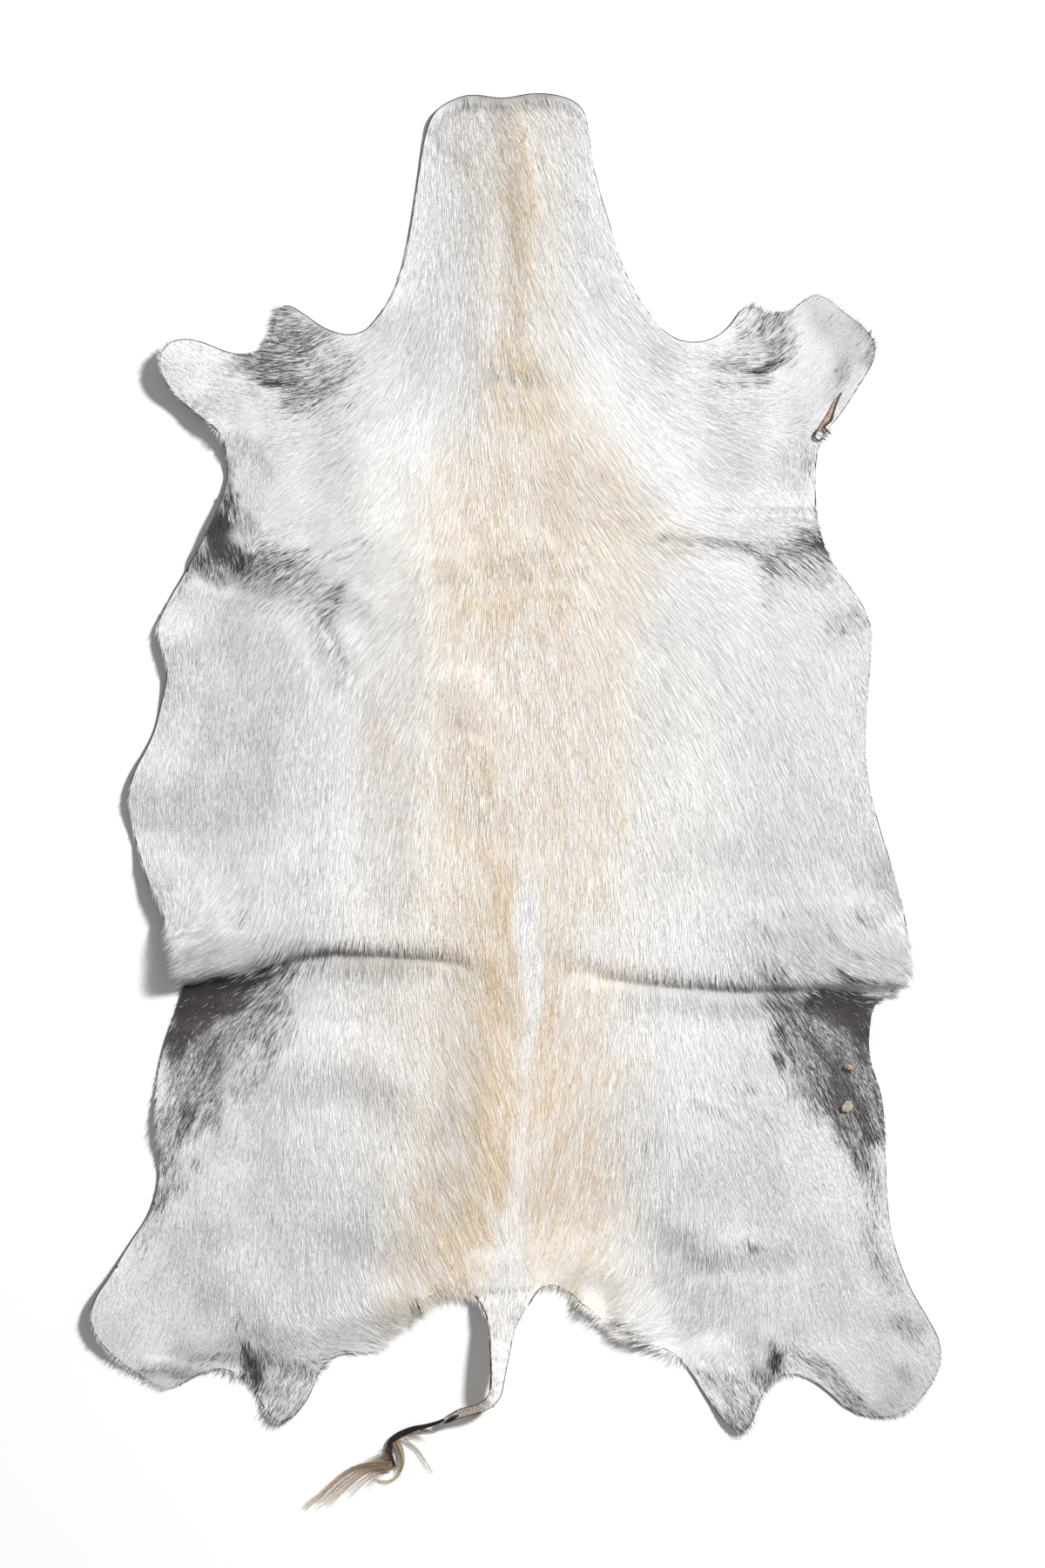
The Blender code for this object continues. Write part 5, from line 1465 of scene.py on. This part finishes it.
torn_skin = hard_skin("torn_skin", (0.50, 0.34, 0.24, 1), (0.22, 0.12, 0.08, 1))
torn_dark_skin = hard_skin("torn_dark_skin", (0.045, 0.030, 0.026, 1), (0.016, 0.012, 0.011, 1))
teat_skin = hard_skin("teat_skin", (0.50, 0.33, 0.20, 1), (0.22, 0.11, 0.06, 1))
flake_skin = hard_skin("flake_skin", (0.46, 0.40, 0.33, 1), (0.30, 0.24, 0.18, 1))
TORN_PIECES = (
    ("torn_lip", TORN_LIP, torn_skin),
    ("torn_rim", TORN_RIM, torn_dark_skin),
    ("torn_curl", TORN_CURL, torn_dark_skin),
)
KNOBS = (
    ("teat", TEAT_PLACE, TEAT_OUTLINE, TEAT_DEPTH, teat_skin),
    ("hard_flake", FLAKE_PLACE, FLAKE_OUTLINE, FLAKE_DEPTH, flake_skin),
)
small_marks = []
for name, places, material in TORN_PIECES:
    raised = [place._replace(height=over_the_skin(*place[:3])) for place in places]
    small_marks.append(twisted_strip(name, raised))
    small_marks[-1].data.materials.append(material)
for name, place, outline, depth, material in KNOBS:
    small_marks.append(hard_knob(name, place, outline, depth))
    small_marks[-1].data.materials.append(material)
for piece in small_marks:
    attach(piece, "root")

# Tail brush
# Long brown hair that grows from the black tip, dark at its roots and faded at its ends. It lies on the
# floor in a fan, a curl and a few stray wisps.
TIP_LAYER = 2.6  # how high over the floor most locks are at their roots, in millimetres
Lock = namedtuple("Lock", "name places hairs root_spread tip_spread tone root_height", defaults=(TIP_LAYER,))
LOCKS = (
    Lock("fan, headward", ((-102.4, -540.2), (-118, -540.8), (-131, -543.4), (-143, -550.4), (-154.5, -560.4),
                           (-164.5, -569.6), (-171, -574), (-175, -578)), 50, 2.2, 3.0, 0.6),
    Lock("fan, second", ((-102.4, -541.4), (-120, -542.8), (-133, -548.8), (-144, -557.5), (-156, -568.5),
                         (-166, -575)), 44, 2.2, 4.4, 0.34),
    Lock("fan, middle", ((-102, -542.5), (-117, -545), (-128.5, -551), (-139, -559.5), (-150, -569.5),
                         (-157, -576)), 36, 2.0, 4.4, 0.24),
    Lock("fan, tailward", ((-101.5, -543.6), (-113, -546.4), (-122.4, -553), (-132, -560.6), (-139.5, -568)),
         28, 1.8, 4.0, 0.32),
    Lock("fan, last", ((-101, -544.2), (-110, -548.5), (-117.5, -555.5), (-124, -563)), 14, 1.4, 2.4, 0.3),
    Lock("fuzz over the fan", ((-104.4, -534), (-111, -535.5), (-118, -538), (-126, -542)),
         34, 3.4, 3.0, 0.6),
    Lock("fuzz at the bend", ((-105, -527.5), (-110, -529.5), (-115.5, -534)), 12, 3.4, 3.0, 0.3),
    Lock("curl", ((-98.5, -521.5), (-93.8, -533), (-94.4, -544.4), (-100.6, -553.4), (-109.4, -555.4),
                  (-118, -552)), 40, 2.4, 0.9, 0.32),
    Lock("curl, inner", ((-100.5, -523), (-97, -532), (-96.6, -541), (-100, -549)), 34, 2.2, 1.6, 0.25),
    Lock("long wisp", ((-95.2, -518), (-83.2, -528), (-77.4, -535.2), (-68, -549)), 8, 1.0, 1.4, 0.7),
    Lock("second wisp", ((-93, -518), (-81, -529), (-73.8, -539.6), (-69.8, -549.5)), 5, 1.0, 2.2, 0.4),
    Lock("short wisp", ((-88, -516.4), (-80.5, -520), (-74.5, -523)), 20, 3.0, 2.6, 0.4),
    Lock("wisp by the twist", ((-79, -512.6), (-72.5, -514), (-66.5, -513.4), (-62, -511)),
         24, 1.6, 1.6, 0.55),
    Lock("stray hairs", ((-97, -540), (-95.8, -549), (-96, -557)), 5, 2.5, 3.0, 0.2),
    Lock("fringe under the twist", ((-20, -490), (-30, -498), (-42, -506)), 30, 4.0, 5.0, 0.0, 11),
)
BRUSH_STEPS = 12
HAIR_RADIUS = 0.12 * MM
HAIR_SIDES = 3
HAIR_TAPER = 0.6  # how much thinner a hair is at its end
BUNDLE_DEPTH = 1.6 * MM
BUNDLE_PINCH = 0.25  # how much narrower a bundle is halfway
WAVE_TURN, WAVE_START = 7.0, 3.0  # how far each hair's wave turns, and how far its start differs
STRETCH = 0.03
FLOOR_LAYER = 0.5 * MM  # how high the locks are at their ends
LOCK_FALL = 2.2  # they reach the floor this many times sooner than their ends


def lock_guides():
    """A mesh of one run of edges along each lock, with the lock's numbers on its points."""
    points, edges, along_hair, kept = [], [], [], []
    for lock in LOCKS:
        route = smooth_run(lock.places, 4)
        reached = np.concatenate([[0], np.cumsum(np.linalg.norm(np.diff(route, axis=0), axis=1))])
        stops = np.linspace(0, 1, BRUSH_STEPS + 1)
        across, along = (np.interp(stops * reached[-1], reached, route[:, axis]) for axis in (0, 1))
        heights = FLOOR_LAYER + (lock.root_height * MM - FLOOR_LAYER) * smooth(1 - stops * LOCK_FALL)
        first = len(points)
        points += [(x * MM, y * MM, z) for x, y, z in zip(across, along, heights)]
        edges += [(first + i, first + i + 1) for i in range(BRUSH_STEPS)]
        along_hair += list(stops)
        kept += [(lock.hairs, lock.root_spread * MM, lock.tip_spread * MM, lock.tone)] * (BRUSH_STEPS + 1)
    mesh = bpy.data.meshes.new("lock_guides")
    mesh.from_pydata(points, edges, [])
    store(mesh, "along_hair", along_hair)
    for name, values in zip(("hairs", "root_spread", "tip_spread", "lock_tone"), np.array(kept).T):
        store(mesh, name, values)
    return mesh


def brush_tree():
    """Geometry Nodes that grow a bundle of hairs along each guide."""
    tree, given = new_tree("brush", (
        ("Guides", "Geometry"), ("Radius", "Float"), ("Sides", "Int"), ("Waviness", "Float"),
        ("Seed", "Int"), ("Material", "Material"),
    ), "Brush")

    times, plus, minus = arithmetic(tree)

    def chance(low, high, seed):
        seed = plus(given["Seed"], float(seed))
        return out(add_node(tree, "FunctionNodeRandomValue", {"Min": low, "Max": high, "Seed": seed}))

    def vectors(operation, first, second):
        """The sum or cross product of two vectors."""
        return out(add_node(tree, "ShaderNodeVectorMath", {0: first, 1: second}, operation=operation))

    def scaled(vector, scale):
        inputs = {0: vector, "Scale": scale}
        return out(add_node(tree, "ShaderNodeVectorMath", inputs, operation="SCALE"))

    # every guide becomes a bundle, and each hair in it gets numbers of its own
    guides = out(add_node(tree, "GeometryNodeMeshToCurve", {"Mesh": given["Guides"]}))
    bundle = out(add_node(
        tree, "GeometryNodeDuplicateElements",
        {"Geometry": guides, "Amount": kept_value(tree, "hairs")}, domain="SPLINE",
    ))
    for name, low, high, seed in (
        ("aside", -1.0, 1.0, 1), ("above", 0.0, 1.0, 2), ("bend", -1.0, 1.0, 3),
        ("stretch", -0.22, 0.04, 4), ("own_tone", -0.3, 0.3, 5),
    ):
        bundle = keep(tree, bundle, name, chance(low, high, seed), "CURVE")

    # how far each hair lies from its guide
    along = kept_value(tree, "along_hair")
    root, tip = kept_value(tree, "root_spread"), kept_value(tree, "tip_spread")
    spread = plus(root, times(minus(tip, root), along))
    arch = out(add_node(tree, "ShaderNodeMath", {0: times(along, math.pi)}, operation="SINE"))
    pinch = minus(1.0, times(arch, BUNDLE_PINCH))
    phase = plus(times(along, WAVE_TURN), times(kept_value(tree, "bend"), WAVE_START))
    wave = out(add_node(tree, "ShaderNodeMath", {0: phase}, operation="SINE"))
    wave = times(times(wave, given["Waviness"]), along)
    aside = plus(times(times(kept_value(tree, "aside"), spread), pinch), wave)
    tangent = out(add_node(tree, "GeometryNodeInputTangent"))
    sideways = scaled(vectors("CROSS_PRODUCT", tangent, (0.0, 0.0, 1.0)), aside)
    onward = scaled(tangent, times(times(kept_value(tree, "stretch"), along), STRETCH))
    height = times(kept_value(tree, "above"), BUNDLE_DEPTH)
    lift = out(add_node(tree, "ShaderNodeCombineXYZ", {"Z": height}))
    shift = vectors("ADD", vectors("ADD", sideways, lift), onward)
    placed = out(add_node(tree, "GeometryNodeSetPosition", {"Geometry": bundle, "Offset": shift}))
    tone = plus(kept_value(tree, "lock_tone"), kept_value(tree, "own_tone"))
    placed = keep(tree, placed, "hair_tone", tone)

    # a tapered tube along each hair
    profile = add_node(
        tree, "GeometryNodeCurvePrimitiveCircle", {"Resolution": given["Sides"], "Radius": given["Radius"]}
    )
    tubes = out(add_node(
        tree, "GeometryNodeCurveToMesh",
        {
            "Curve": placed, "Profile Curve": out(profile), "Fill Caps": True,
            "Scale": minus(1.0, times(along, HAIR_TAPER)),
        },
    ))
    end_tree(tree, tubes, given["Material"])
    return tree


ROOT_BROWN = (0.085, 0.045, 0.025, 1)
LIGHT_BROWN = (0.56, 0.41, 0.26, 1)
FADED_HAIR = (0.80, 0.69, 0.55, 1)
brush_material, tree, shader = new_material("tail_hair", 0.45)
shader.inputs["Specular IOR Level"].default_value = 0.35
along_hair = surface_number(tree, "along_hair")
length_colour = mixed(tree, along_hair, LIGHT_BROWN, FADED_HAIR)
depth = maths(tree, "MULTIPLY", surface_number(tree, "hair_tone"), maths(tree, "SUBTRACT", 1.1, along_hair))
tree.links.new(mixed(tree, depth, length_colour, ROOT_BROWN), shader.inputs["Base Color"])
guides = bpy.data.objects.new("lock_guides", lock_guides())
bpy.context.scene.collection.objects.link(guides)
tail_hair = dressed(brush_tree(), guides, "tail_hair", {
    "Radius": HAIR_RADIUS,
    "Sides": HAIR_SIDES,
    "Waviness": 0.5 * MM,
    "Seed": 3,
    "Material": brush_material,
})
bpy.data.objects.remove(guides)
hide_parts("tail_brush")
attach(tail_hair, "root")

# Floor and light
FLOOR_HALF = 6.0
bpy.ops.mesh.primitive_plane_add(size=2 * FLOOR_HALF)
floor = bpy.context.object
floor.name = "floor"
floor_paint, tree, shader = new_material("floor_paint", 0.9)
shader.inputs["Base Color"].default_value = (0.85, 0.85, 0.85, 1)
shader.inputs["Specular IOR Level"].default_value = 0.1
floor.data.materials.append(floor_paint)

bpy.context.scene.view_settings.view_transform = "Standard"
world = bpy.data.worlds.new("studio")
world.use_nodes = True
world.node_tree.nodes["Background"].inputs["Color"].default_value = (1, 1, 1, 1)
world.node_tree.nodes["Background"].inputs["Strength"].default_value = 0.315
bpy.context.scene.world = world
KEY_PLACE = (5.2, 3.9, 4.8)
KEY_WIDTH = 1.2
KEY_WATTS = 1105
key_data = bpy.data.lights.new("key", "AREA")
key_data.shape = "DISK"
key_data.size = KEY_WIDTH
key_data.energy = KEY_WATTS
key = bpy.data.objects.new("key", key_data)
key.location = KEY_PLACE
key.rotation_euler = Vector(KEY_PLACE).to_track_quat("Z", "Y").to_euler()
bpy.context.scene.collection.objects.link(key)

# Camera
# Straight over the hide, as the photograph is framed: 1200 by 1800 pixels at 0.7138 mm each.
PIXEL = PIXEL_MM * MM
FRAME_PIXELS = (1200, 1800)
LENS_MM, SENSOR_MM = 100, 36
camera_data = bpy.data.cameras.new("camera")
camera_data.lens = LENS_MM
camera_data.sensor_width = SENSOR_MM
camera_data.clip_end = 50
camera = bpy.data.objects.new("camera", camera_data)
camera.location = (
    (FRAME_PIXELS[0] / 2 - HIDE_MIDDLE[0]) * PIXEL,
    (HIDE_MIDDLE[1] - FRAME_PIXELS[1] / 2) * PIXEL,
    FRAME_PIXELS[1] * PIXEL * LENS_MM / SENSOR_MM,
)
bpy.context.scene.collection.objects.link(camera)
bpy.context.scene.camera = camera
